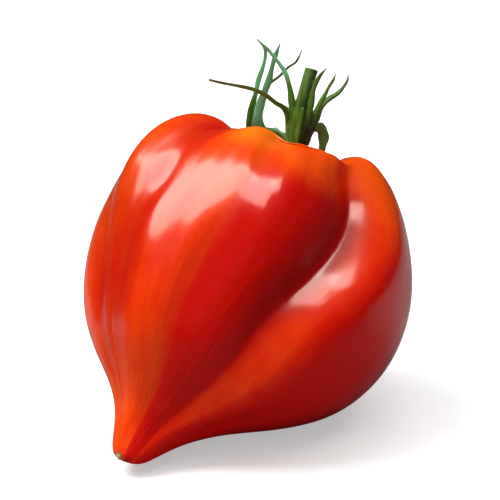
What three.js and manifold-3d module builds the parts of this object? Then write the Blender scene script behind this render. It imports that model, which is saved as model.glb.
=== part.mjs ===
// An ox-heart tomato lying on its belly: lobed fruit, green calyx and the cut stalk.
// Millimetres, +Z up. +X is across, +Y is away from the side that the pinched tip points to.
// The origin is on the resting plane, under the middle of the whole thing.

import * as THREE from 'three';
import Module from 'manifold-3d';
import { ParametricGeometry } from 'three/addons/geometries/ParametricGeometry.js';
import { mergeVertices } from 'three/addons/utils/BufferGeometryUtils.js';

// Gap kept between two pieces that sit together.
const GAP = 0.3;

// Shift that brings the middle of the whole thing over the origin.
const PLACE = new THREE.Vector3(-0.513, 0.46, 0);

// The fruit's own axis, from the tip to the stalk: its lean above the horizontal and its heading.
const AXIS_ELEVATION = 57;
const AXIS_HEADING = 35;
const AXIS_ORIGIN = new THREE.Vector3(-1.49, -8.95, 41.3);

// Control rings of the fruit, from the hollow at the stalk to the tip.
// height along the axis, centre across, centre up, half width, half depth
const RINGS = [
  [33.0, 2.0, 0.0, 0.0, 0.0],
  [33.5, 2.0, 0.0, 6.5, 6.5],
  [38.5, -1.0, -3.0, 15.0, 14.0],
  [43.0, -8.0, -9.0, 27.0, 26.5],
  [37.5, -9.5, -9.0, 34.0, 34.0],
  [25.0, -8.0, -8.0, 41.5, 42.5],
  [6.0, -6.0, -7.0, 48.0, 47.5],
  [-12.0, -4.5, -5.0, 45.0, 45.5],
  [-28.0, -3.0, -1.0, 35.5, 38.0],
  [-39.0, -3.5, 6.0, 18.0, 19.5],
  [-48.0, -5.1, 13.0, 9.1, 9.0],
  [-57.3, -3.4, 19.5, 5.0, 4.5],
  [-57.3, -3.4, 19.5, 0.0, 0.0],
];

// Furrows between the lobes. Angles are around the axis, in degrees, from its upper side.
// The run is where along the fruit a furrow begins, is full, starts to fade and ends (0 stalk, 1 tip).
const FURROWS = [
  { top: 80, low: 48, depth: 9.2, left: 24, right: 13, round: 0.22, run: [0.10, 0.42, 0.48, 0.93] },
  { top: 31, low: 18, depth: 3.0, left: 8, right: 12, round: 0.6, run: [0.08, 0.25, 0.50, 0.92] },
  { top: 11, low: 6, depth: 0.5, left: 6, right: 6, round: 0.8, run: [0.12, 0.35, 0.50, 0.80] },
  { top: -6, low: -14, depth: 4.2, left: 9, right: 9, round: 0.8, run: [0.06, 0.22, 0.42, 0.90] },
  { top: -38, low: -28, depth: 3.4, left: 8, right: 13, round: 0.9, run: [0.06, 0.22, 0.50, 0.92] },
  { top: -60, low: -56, depth: 2.4, left: 8, right: 8, round: 0.8, run: [0.06, 0.22, 0.50, 0.90] },
  { top: -90, low: -84, depth: 4.5, left: 12, right: 12, round: 0.8, run: [0.06, 0.22, 0.50, 0.90] },
  { top: -122, low: -120, depth: 3.6, left: 12, right: 12, round: 0.9, run: [0.06, 0.22, 0.50, 0.88] },
  { top: -160, low: -160, depth: 4.5, left: 12, right: 12, round: 0.7, run: [0.06, 0.22, 0.50, 0.90] },
  { top: 160, low: 155, depth: 4.5, left: 12, right: 12, round: 0.8, run: [0.06, 0.22, 0.50, 0.90] },
];
// Where furrows bend from their top angle to their low angle.
const BEND = [0.35, 0.63];

// The lobe beside the first and deepest furrow bulges over it in a low lip.
// height, degrees past the furrow, half width in degrees
const LIP = [2.4, 19, 11];
const LIP_RUN = [0.34, 0.50, 0.62, 0.90];

// Broad swellings of single lobes: angle, height, half width in degrees, place along and half length.
const SWELLS = [
  [-28, 4.3, 15, 0.37, 0.14],
  [92, 1.9, 18, 0.28, 0.11],
  [112, 0.8, 26, 0.48, 0.15],
  [122, 3.3, 20, 0.36, 0.12],
  [128, 1, 26, 0.70, 0.12],
  [155, -4.5, 26, 0.80, 0.12],
  [40, 2.3, 15, 0.44, 0.14],
  [44, -1.8, 14, 0.27, 0.10],
  [-50, -2.4, 18, 0.42, 0.14],
  [-80, -3.1, 22, 0.55, 0.14],
  [-70, -1.8, 25, 0.78, 0.12],
  [-175, 0.8, 22, 0.64, 0.10],
  [7, -1, 8, 0.28, 0.06],
  [-38, 1.2, 18, 0.45, 0.10],
  [100, 1.5, 14, 0.22, 0.06],
  [-19, 1.3, 8, 0.23, 0.07],
];
// Even fullness over the whole middle of the fruit.
const FULLNESS = 1.2;

const FRUIT_AROUND = 88;
const FRUIT_ALONG = 46;
// Columns of the skin crowd towards the deepest furrow by this share.
const CROWDING = 0.45;

// Middle line of the stalk, from its foot in the hollow to its cut end.
const STALK_LINE = [
  [11.2, 5.3, 70.6],
  [13, 6, 76.5],
  [14, 7, 82],
  [15.4, 9, 89.6],
  [17.8, 11, 98],
];
const STALK_RADIUS = 1.8;
const STALK_FOOT_FLARE = 0.5;
const STALK_END_FLARE = 0.15;
const STALK_RIB = 0.06;
const STALK_AROUND = 15;
const STALK_ALONG = 12;

// The calyx: a round base in the hollow, a short cup up the stalk and the sepals.
const BASE_RADIUS = 5.5;
const BASE_HALF_HEIGHT = 2.4;
const CUP_WAIST_RADIUS = 2.75;
const CUP_WAIST = 0.46;
const CUP_FOOT_FLARE = 1.05;
const CUP_RIM_FLARE = 1.7;
const CUP_REACH = 0.6;
const CUP_WALL = 0.8;
const SEPAL_THICKNESS = 0.7;
const SEPAL_FOOT_WIDTH = 3.4;
const SEPAL_FOOT_SHARE = 0.24;
// A sepal turns by its twist over this first share of its length.
const TWIST_SHARE = 0.4;
const SEPAL_AROUND = 8;
const SEPAL_ALONG = 13;

// Sepals: width past the foot, twist near the root in degrees and middle line from root to tip.
const SEPALS = [
  {
    width: 1.7,
    twist: 25,
    line: [
      [10.8, 5.6, 76], [11.2, 6, 83.9], [10, 5, 88], [7.5, 3, 90.1], [4.7, 1, 92.5],
      [1.4, -1, 94.3], [-2.7, -3, 95.5], [-7, -4.5, 96.5], [-10.5, -6, 97.5],
    ],
  },
  {
    width: 3.8,
    twist: 120,
    line: [
      [10.8, 6.8, 76], [9.3, 8.6, 81.7], [5.7, 10, 80.6], [3.4, 10.5, 81.4],
      [3.1, 10.3, 84.6], [3.7, 10, 87.8], [4.6, 9.5, 91], [5.9, 9, 94.7], [6.8, 8, 98.8],
      [7.8, 7, 102.5], [8.8, 6.3, 105.6],
    ],
  },
  {
    width: 2.6,
    twist: 130,
    line: [
      [11, 7.6, 75.5], [6.8, 12, 80.3], [2.3, 13.4, 79.2], [0.4, 13.6, 81.1],
      [0.4, 13.3, 84.7], [1.1, 12.8, 88.2], [2.1, 12.3, 91.4], [3.1, 11.5, 94.9],
      [4.2, 10.8, 98.4], [4.9, 10, 101.6], [4.7, 9, 104.2], [2.5, 8, 106.8],
    ],
  },
  {
    width: 1.7,
    twist: 45,
    line: [
      [11.5, 4.4, 76], [12.5, 4.6, 85.3], [12.1, 4.8, 90.3], [11.4, 5, 94.4],
      [10.2, 5, 98], [8.4, 4.8, 100.7], [6.3, 4.3, 103.4], [4.5, 3.6, 105.4],
      [2.8, 3, 106.8],
    ],
  },
  {
    width: 1.3,
    twist: -38,
    line: [
      [11.6, 7.8, 76], [8.2, 11.5, 80.9], [5.1, 12.3, 83.1], [4.5, 12.2, 88],
      [5.4, 11.8, 92], [7, 11, 95], [9.3, 10.4, 96.5], [11.2, 9.8, 98.7], [13.4, 9, 100.4],
      [15, 8, 103.8],
    ],
  },
  {
    width: 2.0,
    twist: -10,
    line: [
      [13.5, 3.8, 76], [16.2, 4.2, 83.4], [17.5, 3.6, 89.1], [18.1, 2.6, 93.4],
      [19.1, 1.6, 96.3], [20.2, 0.6, 98.2], [21.5, -0.6, 99.9],
    ],
  },
  {
    width: 1.7,
    twist: -60,
    line: [
      [15.1, 5, 76], [18, 5.8, 83.9], [19.8, 6, 88.4], [21.4, 5.6, 91.6],
      [22.6, 5.2, 94.1], [23.7, 4.8, 96], [24.2, 4.4, 97.6],
    ],
  },
  {
    width: 1.9,
    twist: -85,
    line: [
      [15.4, 6.3, 76], [18.5, 7.6, 83.9], [20.5, 8.8, 87.7], [22.6, 9.6, 89.7],
      [25, 10, 91.2], [26.8, 10, 93.1], [27.9, 9.6, 95.2], [28, 9, 96.7],
    ],
  },
  {
    width: 3.8,
    twist: -35,
    line: [
      [15, 7.4, 76], [16.8, 9.3, 80], [18.9, 11.2, 82], [20.9, 12.2, 81],
      [21.3, 12.4, 78.2], [21.2, 12.2, 74.6],
    ],
  },
  {
    width: 2.6,
    twist: -25,
    line: [
      [13.6, 8.4, 76], [14.5, 13, 79.5], [15.5, 18, 80.5], [17, 23, 77.5],
      [17.6, 26, 78.6],
    ],
  },
  {
    width: 2.6,
    twist: 20,
    line: [
      [12.2, 8.2, 76], [9.5, 13.5, 79], [6.5, 18, 80], [4, 21.5, 78], [3.2, 23.5, 78.2],
    ],
  },
  {
    width: 3.0,
    twist: 45,
    line: [
      [11.8, 5, 76], [13.4, 4.4, 84.5], [13.8, 4.8, 88.3], [14.5, 5.6, 91.3],
      [15.2, 6.4, 93.7],
    ],
  },
];

const rad = THREE.MathUtils.degToRad;
const wasm = await Module();
wasm.setup();

// Along the axis, across it and up from it.
const along = new THREE.Vector3(
  Math.cos(rad(AXIS_ELEVATION)) * Math.sin(rad(AXIS_HEADING)),
  Math.cos(rad(AXIS_ELEVATION)) * Math.cos(rad(AXIS_HEADING)),
  Math.sin(rad(AXIS_ELEVATION)),
);
const across = new THREE.Vector3(Math.cos(rad(AXIS_HEADING)), -Math.sin(rad(AXIS_HEADING)), 0);
const upward = new THREE.Vector3().crossVectors(across, along);

function ease(a, b, x) {
  const y = THREE.MathUtils.clamp((x - a) / (b - a), 0, 1);
  return y * y * (3 - 2 * y);
}

function angleApart(a, b) {
  return THREE.MathUtils.euclideanModulo(a - b + 180, 360) - 180;
}

// A ring before the first or past the last is its mirror image, so that both ends close smoothly.
function ringPoint(index, phi) {
  const last = RINGS.length - 1;
  const mirrored = index < 0 || index > last;
  const inside = index < 0 ? -index : index > last ? 2 * last - index : index;
  const [height, cx, cy, rx, ry] = RINGS[inside];
  const flip = mirrored ? -1 : 1;
  return [cx + flip * rx * Math.sin(phi), cy + flip * ry * Math.cos(phi), height];
}

// The bare form: a cubic B-spline over the control rings.
function bareForm(t, phi, target) {
  const steps = RINGS.length - 1;
  const x = THREE.MathUtils.clamp(t, 0, 1) * steps;
  const k = Math.min(Math.floor(x), steps - 1);
  const u = x - k;
  const weights = [
    (1 - u) ** 3 / 6,
    (3 * u ** 3 - 6 * u ** 2 + 4) / 6,
    (-3 * u ** 3 + 3 * u ** 2 + 3 * u + 1) / 6,
    u ** 3 / 6,
  ];
  const p = [0, 0, 0];
  weights.forEach((weight, j) => {
    ringPoint(k - 1 + j, phi).forEach((value, axis) => {
      p[axis] += weight * value;
    });
  });
  return target.copy(AXIS_ORIGIN)
    .addScaledVector(across, p[0])
    .addScaledVector(upward, p[1])
    .addScaledVector(along, p[2]);
}

const ahead = new THREE.Vector3();
const behind = new THREE.Vector3();
const slopeAlong = new THREE.Vector3();
const slopeAround = new THREE.Vector3();

function bareNormal(t, phi, target) {
  const step = 0.002;
  bareForm(t + step, phi, ahead);
  bareForm(t - step, phi, behind);
  slopeAlong.subVectors(ahead, behind);
  bareForm(t, phi + step, ahead);
  bareForm(t, phi - step, behind);
  slopeAround.subVectors(ahead, behind);
  target.crossVectors(slopeAlong, slopeAround);
  if (target.lengthSq() < 1e-16) {
    return target.copy(along).multiplyScalar(t < 0.5 ? 1 : -1);
  }
  return target.normalize();
}

// The angle of a furrow at a place along the fruit.
function furrowAngle({ top, low }, t) {
  return top + (low - top) * ease(BEND[0], BEND[1], t);
}

// How much of a run is there: it grows in, holds and fades out.
function runShare([begin, full, fade, end], t) {
  return ease(begin, full, t) * (1 - ease(fade, end, t));
}

// How far the skin stands off the bare form: fullness, swellings and the lip, less the furrows.
function relief(t, phi) {
  const degrees = THREE.MathUtils.radToDeg(phi);
  let height = FULLNESS * ease(0.08, 0.25, t) * (1 - ease(0.6, 0.95, t));
  for (const [angle, rise, half, place, length] of SWELLS) {
    height += rise * Math.exp(-((angleApart(degrees, angle) / half) ** 2) - ((t - place) / length) ** 2);
  }
  const [rise, offset, half] = LIP;
  const beside = angleApart(degrees, furrowAngle(FURROWS[0], t)) - offset;
  height += rise * runShare(LIP_RUN, t) * Math.exp(-((beside / half) ** 2));
  for (const furrow of FURROWS) {
    const apart = angleApart(degrees, furrowAngle(furrow, t));
    const reach = Math.hypot(apart / (apart < 0 ? furrow.left : furrow.right), furrow.round) - furrow.round;
    height -= furrow.depth * runShare(furrow.run, t) * Math.exp(-reach);
  }
  return height * ease(0, 0.08, t) * (1 - ease(0.96, 1, t));
}

// One closed solid from a geometry: shared corners joined, flat triangles at the poles dropped.
function solidOf(geometry) {
  const bare = geometry.clone();
  bare.deleteAttribute('normal');
  bare.deleteAttribute('uv');
  const welded = mergeVertices(bare, 1e-4);
  const corners = [];
  for (let i = 0; i < welded.index.count; i += 3) {
    const [a, b, c] = [welded.index.getX(i), welded.index.getX(i + 1), welded.index.getX(i + 2)];
    if (a !== b && b !== c && c !== a) {
      corners.push(a, b, c);
    }
  }
  const solid = new wasm.Manifold(new wasm.Mesh({
    numProp: 3,
    vertProperties: new Float32Array(welded.attributes.position.array),
    triVerts: new Uint32Array(corners),
  }));
  return solid;
}

function geometryOf(solid) {
  const mesh = solid.getMesh();
  const geometry = new THREE.BufferGeometry();
  geometry.setAttribute('position', new THREE.BufferAttribute(mesh.vertProperties, 3));
  geometry.setIndex(new THREE.BufferAttribute(mesh.triVerts, 1));
  geometry.computeVertexNormals();
  return geometry;
}

function largestBody(solid) {
  return solid.decompose().reduce((a, b) => (a.volume() > b.volume() ? a : b));
}

// The skin's columns run along the furrows: a column's angle bends as its neighbouring furrows do.
function columnAngle(u, t) {
  const deepest = FURROWS[0].top;
  const even = -360 * (u % 1);
  const start = even - THREE.MathUtils.radToDeg(CROWDING * Math.sin(rad(even - deepest)));
  const tops = FURROWS.map(({ top, low }) => [angleApart(top, start), low - top]);
  tops.sort((a, b) => a[0] - b[0]);
  const next = tops.find(([apart]) => apart >= 0) ?? [tops[0][0] + 360, tops[0][1]];
  const before = tops.findLast(([apart]) => apart < 0) ?? [tops.at(-1)[0] - 360, tops.at(-1)[1]];
  const share = ease(0, 1, -before[0] / (next[0] - before[0]));
  return start + (before[1] + (next[1] - before[1]) * share) * ease(BEND[0], BEND[1], t);
}

// The fruit's skin, or the same skin stood off by a clearance.
function fruitSolid(clearance) {
  const normal = new THREE.Vector3();
  const surface = (u, v, target) => {
    const phi = rad(columnAngle(u, v));
    bareForm(v, phi, target);
    bareNormal(v, phi, normal);
    return target.addScaledVector(normal, relief(v, phi) + clearance);
  };
  return solidOf(new ParametricGeometry(surface, FRUIT_AROUND, FRUIT_ALONG));
}

// A closed bar swept along a curve. The section's two half sizes may change on the way.
function sweptSolid(curve, facing, sizes, sides, stations, twist = 0, rib = 0) {
  const frames = [];
  const side = facing.clone();
  for (let i = 0; i <= stations; i += 1) {
    const s = i / stations;
    const tangent = curve.getTangentAt(s);
    side.addScaledVector(tangent, -side.dot(tangent)).normalize();
    const out = side.clone().applyAxisAngle(tangent, rad(twist) * ease(0, TWIST_SHARE, s));
    const wide = new THREE.Vector3().crossVectors(tangent, out);
    frames.push({ middle: curve.getPointAt(s), out, wide, sizes: sizes(s) });
  }
  const surface = (u, v, target) => {
    const row = Math.round(v * (stations + 2)) - 1;
    const { middle, out, wide, sizes: half } = frames[THREE.MathUtils.clamp(row, 0, stations)];
    const open = row < 0 || row > stations ? 0 : 1;
    const angle = -2 * Math.PI * (u % 1);
    const ribbed = open * (1 + rib * Math.cos(5 * angle));
    return target.copy(middle)
      .addScaledVector(wide, ribbed * half[0] * Math.cos(angle))
      .addScaledVector(out, ribbed * half[1] * Math.sin(angle));
  };
  return solidOf(new ParametricGeometry(surface, sides, stations + 2));
}

function curveThrough(points) {
  const corners = points.map((point) => new THREE.Vector3(...point));
  return new THREE.CatmullRomCurve3(corners, false, 'centripetal');
}

const stalkCurve = curveThrough(STALK_LINE);
const stalkSizes = (extra) => (s) => {
  const radius = STALK_RADIUS + STALK_FOOT_FLARE * (1 - s) ** 6 + STALK_END_FLARE * s ** 8 + extra;
  return [radius, radius * 0.92];
};

function stalkSolid(extra) {
  return sweptSolid(stalkCurve, across, stalkSizes(extra), STALK_AROUND, STALK_ALONG, 0, STALK_RIB);
}

// A sepal is broad where it leaves the cup and is drawn out to a fine tip.
function sepalSolid({ width, twist, line }) {
  const curve = curveThrough(line);
  const root = curve.getPointAt(0);
  const outward = root.clone().sub(new THREE.Vector3(...STALK_LINE[1])).setZ(0);
  const sizes = (s) => {
    const foot = Math.exp(-((s / SEPAL_FOOT_SHARE) ** 2));
    const half = 0.5 * (SEPAL_FOOT_WIDTH * foot + width * (1 - foot) * (1 - 0.65 * s ** 2));
    return [Math.max(half, SEPAL_THICKNESS / 2), SEPAL_THICKNESS / 2];
  };
  return sweptSolid(curve, outward, sizes, SEPAL_AROUND, SEPAL_ALONG, twist);
}

function calyxSolid() {
  const base = new THREE.SphereGeometry(1, 18, 10);
  base.scale(BASE_RADIUS, BASE_RADIUS, BASE_HALF_HEIGHT);
  base.applyQuaternion(new THREE.Quaternion().setFromUnitVectors(new THREE.Vector3(0, 0, 1), along));
  base.translate(STALK_LINE[0][0], STALK_LINE[0][1], STALK_LINE[0][2] - 0.4);
  const lineBetween = (from, to) => new THREE.CatmullRomCurve3(
    [0, 1 / 3, 2 / 3, 1].map((share) => stalkCurve.getPointAt(CUP_REACH * (from + (to - from) * share))),
  );
  const cupRadius = (s) => CUP_WAIST_RADIUS
    + CUP_FOOT_FLARE * Math.max(0, 1 - s / CUP_WAIST) ** 2
    + CUP_RIM_FLARE * Math.max(0, (s - CUP_WAIST) / (1 - CUP_WAIST));
  const wallSizes = (s) => [cupRadius(s), cupRadius(s)];
  const hollowSizes = (s) => {
    const radius = cupRadius(CUP_WAIST + (1.1 - CUP_WAIST) * s) - CUP_WALL;
    return [radius, radius];
  };
  let green = solidOf(base).add(sweptSolid(lineBetween(0, 1), across, wallSizes, 20, 8));
  green = green.subtract(sweptSolid(lineBetween(CUP_WAIST, 1.1), across, hollowSizes, 20, 4));
  for (const sepal of SEPALS) {
    green = green.add(sepalSolid(sepal));
  }
  return largestBody(green.subtract(fruitSolid(GAP)).subtract(stalkSolid(GAP)));
}

// The belly is pressed flat where the fruit lies.
const ground = new THREE.BoxGeometry(300, 300, 20);
ground.translate(0, 0, -10);
const fruitBody = fruitSolid(0).subtract(solidOf(ground));

const tomato = new THREE.Group();

const fruit = new THREE.Mesh(
  geometryOf(fruitBody),
  new THREE.MeshStandardMaterial({ color: 0xc8200c, roughness: 0.25, metalness: 0 }),
);
fruit.name = 'fruit';
fruit.position.copy(PLACE);
tomato.add(fruit);

const calyx = new THREE.Mesh(
  geometryOf(calyxSolid()),
  new THREE.MeshStandardMaterial({ color: 0x56733a, roughness: 0.7, metalness: 0 }),
);
calyx.name = 'calyx';
calyx.position.copy(PLACE);
tomato.add(calyx);

const stalk = new THREE.Mesh(
  geometryOf(stalkSolid(0)),
  new THREE.MeshStandardMaterial({ color: 0x4b6a2b, roughness: 0.65, metalness: 0 }),
);
stalk.name = 'stalk';
stalk.position.copy(PLACE);
tomato.add(stalk);

export default tomato;
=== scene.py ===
"""An ox-heart tomato lying on its belly, with a green calyx of curling sepals and a short cut stalk.

Sizes are in millimetres in the classes and become metres where a mesh is made. The frame's own
formula of the fruit is repeated on a finer grid, so that the shown skin lies where the solid one is.
"""
import logging
import math
from collections.abc import Mapping, Sequence
from dataclasses import dataclass
from enum import Enum

import bpy
import numpy as np
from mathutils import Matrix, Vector


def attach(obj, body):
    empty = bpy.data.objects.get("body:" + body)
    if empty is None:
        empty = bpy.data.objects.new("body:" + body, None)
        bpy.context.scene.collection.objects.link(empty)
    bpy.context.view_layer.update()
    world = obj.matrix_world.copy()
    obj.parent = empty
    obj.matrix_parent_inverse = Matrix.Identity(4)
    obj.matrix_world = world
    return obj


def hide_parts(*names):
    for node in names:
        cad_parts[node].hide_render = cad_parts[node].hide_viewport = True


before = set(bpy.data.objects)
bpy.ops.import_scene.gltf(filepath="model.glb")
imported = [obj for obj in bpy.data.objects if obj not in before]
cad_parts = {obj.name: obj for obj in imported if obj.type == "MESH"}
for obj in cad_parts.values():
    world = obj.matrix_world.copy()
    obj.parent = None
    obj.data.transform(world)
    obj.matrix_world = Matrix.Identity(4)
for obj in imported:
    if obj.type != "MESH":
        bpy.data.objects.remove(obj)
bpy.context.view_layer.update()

Array = np.ndarray
Vector3 = tuple[float, float, float]
Colour = tuple[float, float, float]
Run = tuple[float, float, float, float]
Outputs = Mapping[str, bpy.types.NodeSocket]

log = logging.getLogger("tomato")

MM = 0.001
# From the place where the fruit is drawn to the frame's origin under the middle of the box, in millimetres
PLACE = np.array((-0.513, 0.46, 0.0))
WHITE = (1.0, 1.0, 1.0)


# Plain arithmetic on arrays


def ease(low: float, high: float, value: Array | float) -> Array | float:
    """Rises from 0 at low to 1 at high as 3y^2 - 2y^3, and stays level outside."""
    share = np.clip((np.asarray(value) - low) / (high - low), 0.0, 1.0)
    return share * share * (3.0 - 2.0 * share)


def between(run: Run, value: Array | float) -> Array | float:
    """Rises over the first two values of the run, stays at 1, and falls over its last two."""
    return ease(run[0], run[1], value) * (1.0 - ease(run[2], run[3], value))


def bell(distance: Array | float, half: float) -> Array | float:
    """The Gaussian exp(-(distance / half)^2), which is 1 in its middle."""
    return np.exp(-((distance / half) ** 2))


def apart(first: Array | float, second: Array | float) -> Array | float:
    """Degrees from the second angle to the first, between -180 and 180."""
    return (np.asarray(first) - second + 180.0) % 360.0 - 180.0


def unit(vectors: Array) -> Array:
    """The same directions with length one."""
    return vectors / np.maximum(np.linalg.norm(vectors, axis=-1, keepdims=True), 1e-12)


def turned(vectors: Array, axes: Array, degrees: Array) -> Array:
    """Vectors turned about unit axes by Rodrigues' formula.

    Args:
        vectors: The vectors, in the last dimension.
        axes: Unit axes of the same shape.
        degrees: The angle for each.

    Returns:
        The turned vectors.
    """
    angle = np.radians(degrees)[..., None]
    along = (vectors * axes).sum(-1, keepdims=True)
    return (vectors * np.cos(angle) + np.cross(axes, vectors) * np.sin(angle)
            + axes * along * (1.0 - np.cos(angle)))


def waves(angle: Array, terms: tuple[tuple[float, ...], ...], drift: Array | float = 0.0) -> Array:
    """Waves round a piece: the sum of height times cos(count times angle + phase + slant times drift).

    Args:
        angle: Angle in radians.
        terms: Height, count round the piece, phase and slant of each wave.
        drift: What the slant is multiplied by, such as the place along the piece.

    Returns:
        The sum at each angle.
    """
    return sum(height * np.cos(count * angle + phase + slant * drift)
               for height, count, phase, slant in terms)


def placed(middle: Array, axes: Sequence[Array], *amounts: Array) -> Array:
    """Points at a place plus an amount along each axis."""
    return middle + sum(axis * amount[..., None] for axis, amount in zip(axes, np.broadcast_arrays(*amounts)))


def carried(middle: Array, wide: Array, face: Array, x: Array, y: Array) -> Array:
    """A section carried along a line: the middle, plus x along its width and y along its face."""
    return middle[:, None] + wide[:, None] * x[..., None] + face[:, None] * y[..., None]


def section_angles(sides: int) -> Array:
    """Angles in radians round a section, turning clockwise, so that a grid's faces point outwards."""
    return -2.0 * math.pi * np.arange(sides) / sides


def with_ends(points: Array) -> Array:
    """The rows of a section carried along a line, with a row of its middle added at each end."""
    first, last = (row.mean(1, keepdims=True).repeat(points.shape[1], 1) for row in (points[:1], points[-1:]))
    return np.concatenate([first, points, last])


def uneven(points: Array, wavelength: float, seed: int, count: int = 9) -> Array:
    """Soft unevenness in space: a sum of sine waves in seeded directions.

    Args:
        points: Points in millimetres, in the last dimension.
        wavelength: Middle wavelength in millimetres, which each wave takes 0.7 to 1.5 times.
        seed: Seed of the directions and phases.
        count: How many waves are summed.

    Returns:
        Values of about -1 to 1, one for each point.
    """
    rng = np.random.default_rng(seed)
    directions = unit(rng.normal(size=(count, 3)))
    numbers = 2.0 * math.pi / (wavelength * rng.uniform(0.7, 1.5, count))
    phases = rng.uniform(0.0, 2.0 * math.pi, count)
    return np.sin((points @ directions.T) * numbers + phases).sum(-1) / math.sqrt(count)


# Meshes from grids


@dataclass
class Grid:
    """A surface on a grid that closes round, with both end rows drawn together to a point.

    Attributes:
        points: Rows x columns x 3, in millimetres. Going round and then onwards faces outwards.
        marks: Named values or vectors for each point, read by the materials.
    """

    points: Array
    marks: dict[str, Array]

    def object(self, name: str, material: bpy.types.Material) -> bpy.types.Object:
        """Makes the mesh object in metres, smooth, and puts it in the scene.

        Args:
            name: Name of the piece.
            material: Its finish.

        Returns:
            The new object.
        """
        rows, columns = self.points.shape[:2]
        inner = self.points[1:-1].reshape(-1, 3)
        ends = np.stack([self.points[0].mean(0), self.points[-1].mean(0)])
        vertices = np.concatenate([inner, ends]) * MM
        here = np.arange(columns)
        after = (here + 1) % columns
        first = (np.arange(rows - 3) * columns)[:, None]
        beyond = first + columns
        quads = np.stack([first + here, first + after, beyond + after, beyond + here], -1)
        top, low = len(inner), len(inner) + 1
        last = (rows - 3) * columns
        fans = [np.stack([np.full(columns, top), after, here], -1),
                np.stack([last + here, last + after, np.full(columns, low)], -1)]
        faces = quads.reshape(-1, 4).tolist() + fans[0].tolist() + fans[1].tolist()
        made = new_object(name, vertices, faces, material)
        for label, values in self.marks.items():
            wide = values.ndim == 3
            flat = values[1:-1].reshape(-1, 3) if wide else values[1:-1].reshape(-1)
            tail = np.stack([values[0].mean(0), values[-1].mean(0)])
            whole = np.concatenate([flat, tail]).astype(np.float32)
            kind, field = ("FLOAT_VECTOR", "vector") if wide else ("FLOAT", "value")
            made.data.attributes.new(label, kind, "POINT").data.foreach_set(field, whole.ravel())
        return made


def new_object(name: str, vertices: Array, faces: Sequence[Sequence[int]],
               material: bpy.types.Material) -> bpy.types.Object:
    """A smooth mesh object at the origin, from vertices in metres.

    Args:
        name: Name of the piece.
        vertices: Points in metres.
        faces: Corner indices of each face.
        material: Its finish.

    Returns:
        The new object, linked into the scene.
    """
    mesh = bpy.data.meshes.new(name)
    mesh.from_pydata(vertices, [], faces)
    mesh.polygons.foreach_set("use_smooth", np.ones(len(mesh.polygons), bool))
    mesh.materials.append(material)
    mesh.update()
    made = bpy.data.objects.new(name, mesh)
    bpy.context.scene.collection.objects.link(made)
    return made


def grid_normals(points: Array) -> Array:
    """Outward unit normals of a grid that closes round: the step round crossed with the step onwards.

    Args:
        points: Rows x columns x 3.

    Returns:
        The normals, in the same shape.
    """
    around = np.roll(points, -1, 1) - np.roll(points, 1, 1)
    onward = np.gradient(points, axis=0)
    return unit(np.cross(around, onward))


# Lines that blades and the stalk follow


@dataclass(frozen=True)
class Line:
    """A smooth line through points, with even steps along its length.

    Attributes:
        knots: The points that it passes through, in millimetres.
        steps: Points worked out between two knots.
    """

    knots: tuple[Vector3, ...]
    steps: int = 60

    def fine(self) -> Array:
        """Dense points on the centripetal Catmull-Rom spline through the knots.

        Each span is a blend of its four neighbours, with knot times that grow by the square root of
        the distance between them, and the two ends are mirrored to give the outer neighbours.

        Returns:
            Points along the whole line.
        """
        knots = np.array(self.knots)
        knots = np.vstack([2 * knots[0] - knots[1], knots, 2 * knots[-1] - knots[-2]])
        spans = []
        for a, b, c, d in zip(knots[:-3], knots[1:-2], knots[2:-1], knots[3:]):
            t0 = 0.0
            t1 = t0 + np.linalg.norm(b - a) ** 0.5
            t2 = t1 + np.linalg.norm(c - b) ** 0.5
            t3 = t2 + np.linalg.norm(d - c) ** 0.5
            t = np.linspace(t1, t2, self.steps, endpoint=False)[:, None]
            ab = (t1 - t) / (t1 - t0) * a + (t - t0) / (t1 - t0) * b
            bc = (t2 - t) / (t2 - t1) * b + (t - t1) / (t2 - t1) * c
            cd = (t3 - t) / (t3 - t2) * c + (t - t2) / (t3 - t2) * d
            abc = (t2 - t) / (t2 - t0) * ab + (t - t0) / (t2 - t0) * bc
            bcd = (t3 - t) / (t3 - t1) * bc + (t - t1) / (t3 - t1) * cd
            spans.append((t2 - t) / (t2 - t1) * abc + (t - t1) / (t2 - t1) * bcd)
        return np.vstack(spans + [knots[-2][None]])

    def at(self, shares: Array) -> tuple[Array, Array]:
        """Points and directions at shares of the length.

        Args:
            shares: Values from 0 at the start to 1 at the end.

        Returns:
            The points and the unit directions there.
        """
        fine = self.fine()
        length = np.concatenate([[0.0], np.cumsum(np.linalg.norm(np.diff(fine, axis=0), axis=1))])
        length /= length[-1]
        middle = np.stack([np.interp(shares, length, fine[:, i]) for i in range(3)], -1)
        slope = np.gradient(fine, length, axis=0)
        ahead = np.stack([np.interp(shares, length, slope[:, i]) for i in range(3)], -1)
        return middle, unit(ahead)

    def frames(self, shares: Array, facing: Array, twist: float = 0.0) -> tuple[Array, Array, Array]:
        """Middle points and two square directions that are carried along without turning.

        Args:
            shares: Where along the line, as shares of its length.
            facing: The direction that the blade's face has at the start.
            twist: Degrees by which the blade turns over its first two fifths.

        Returns:
            Middle points, the face's directions and the width's directions.
        """
        middle, ahead = self.at(shares)
        faces = np.empty_like(middle)
        side = np.asarray(facing, float)
        for i, direction in enumerate(ahead):
            side = unit(side - (side @ direction) * direction)
            faces[i] = side
        faces = turned(faces, ahead, twist * ease(0.0, 0.4, shares))
        return middle, faces, np.cross(ahead, faces)


# Materials


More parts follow.
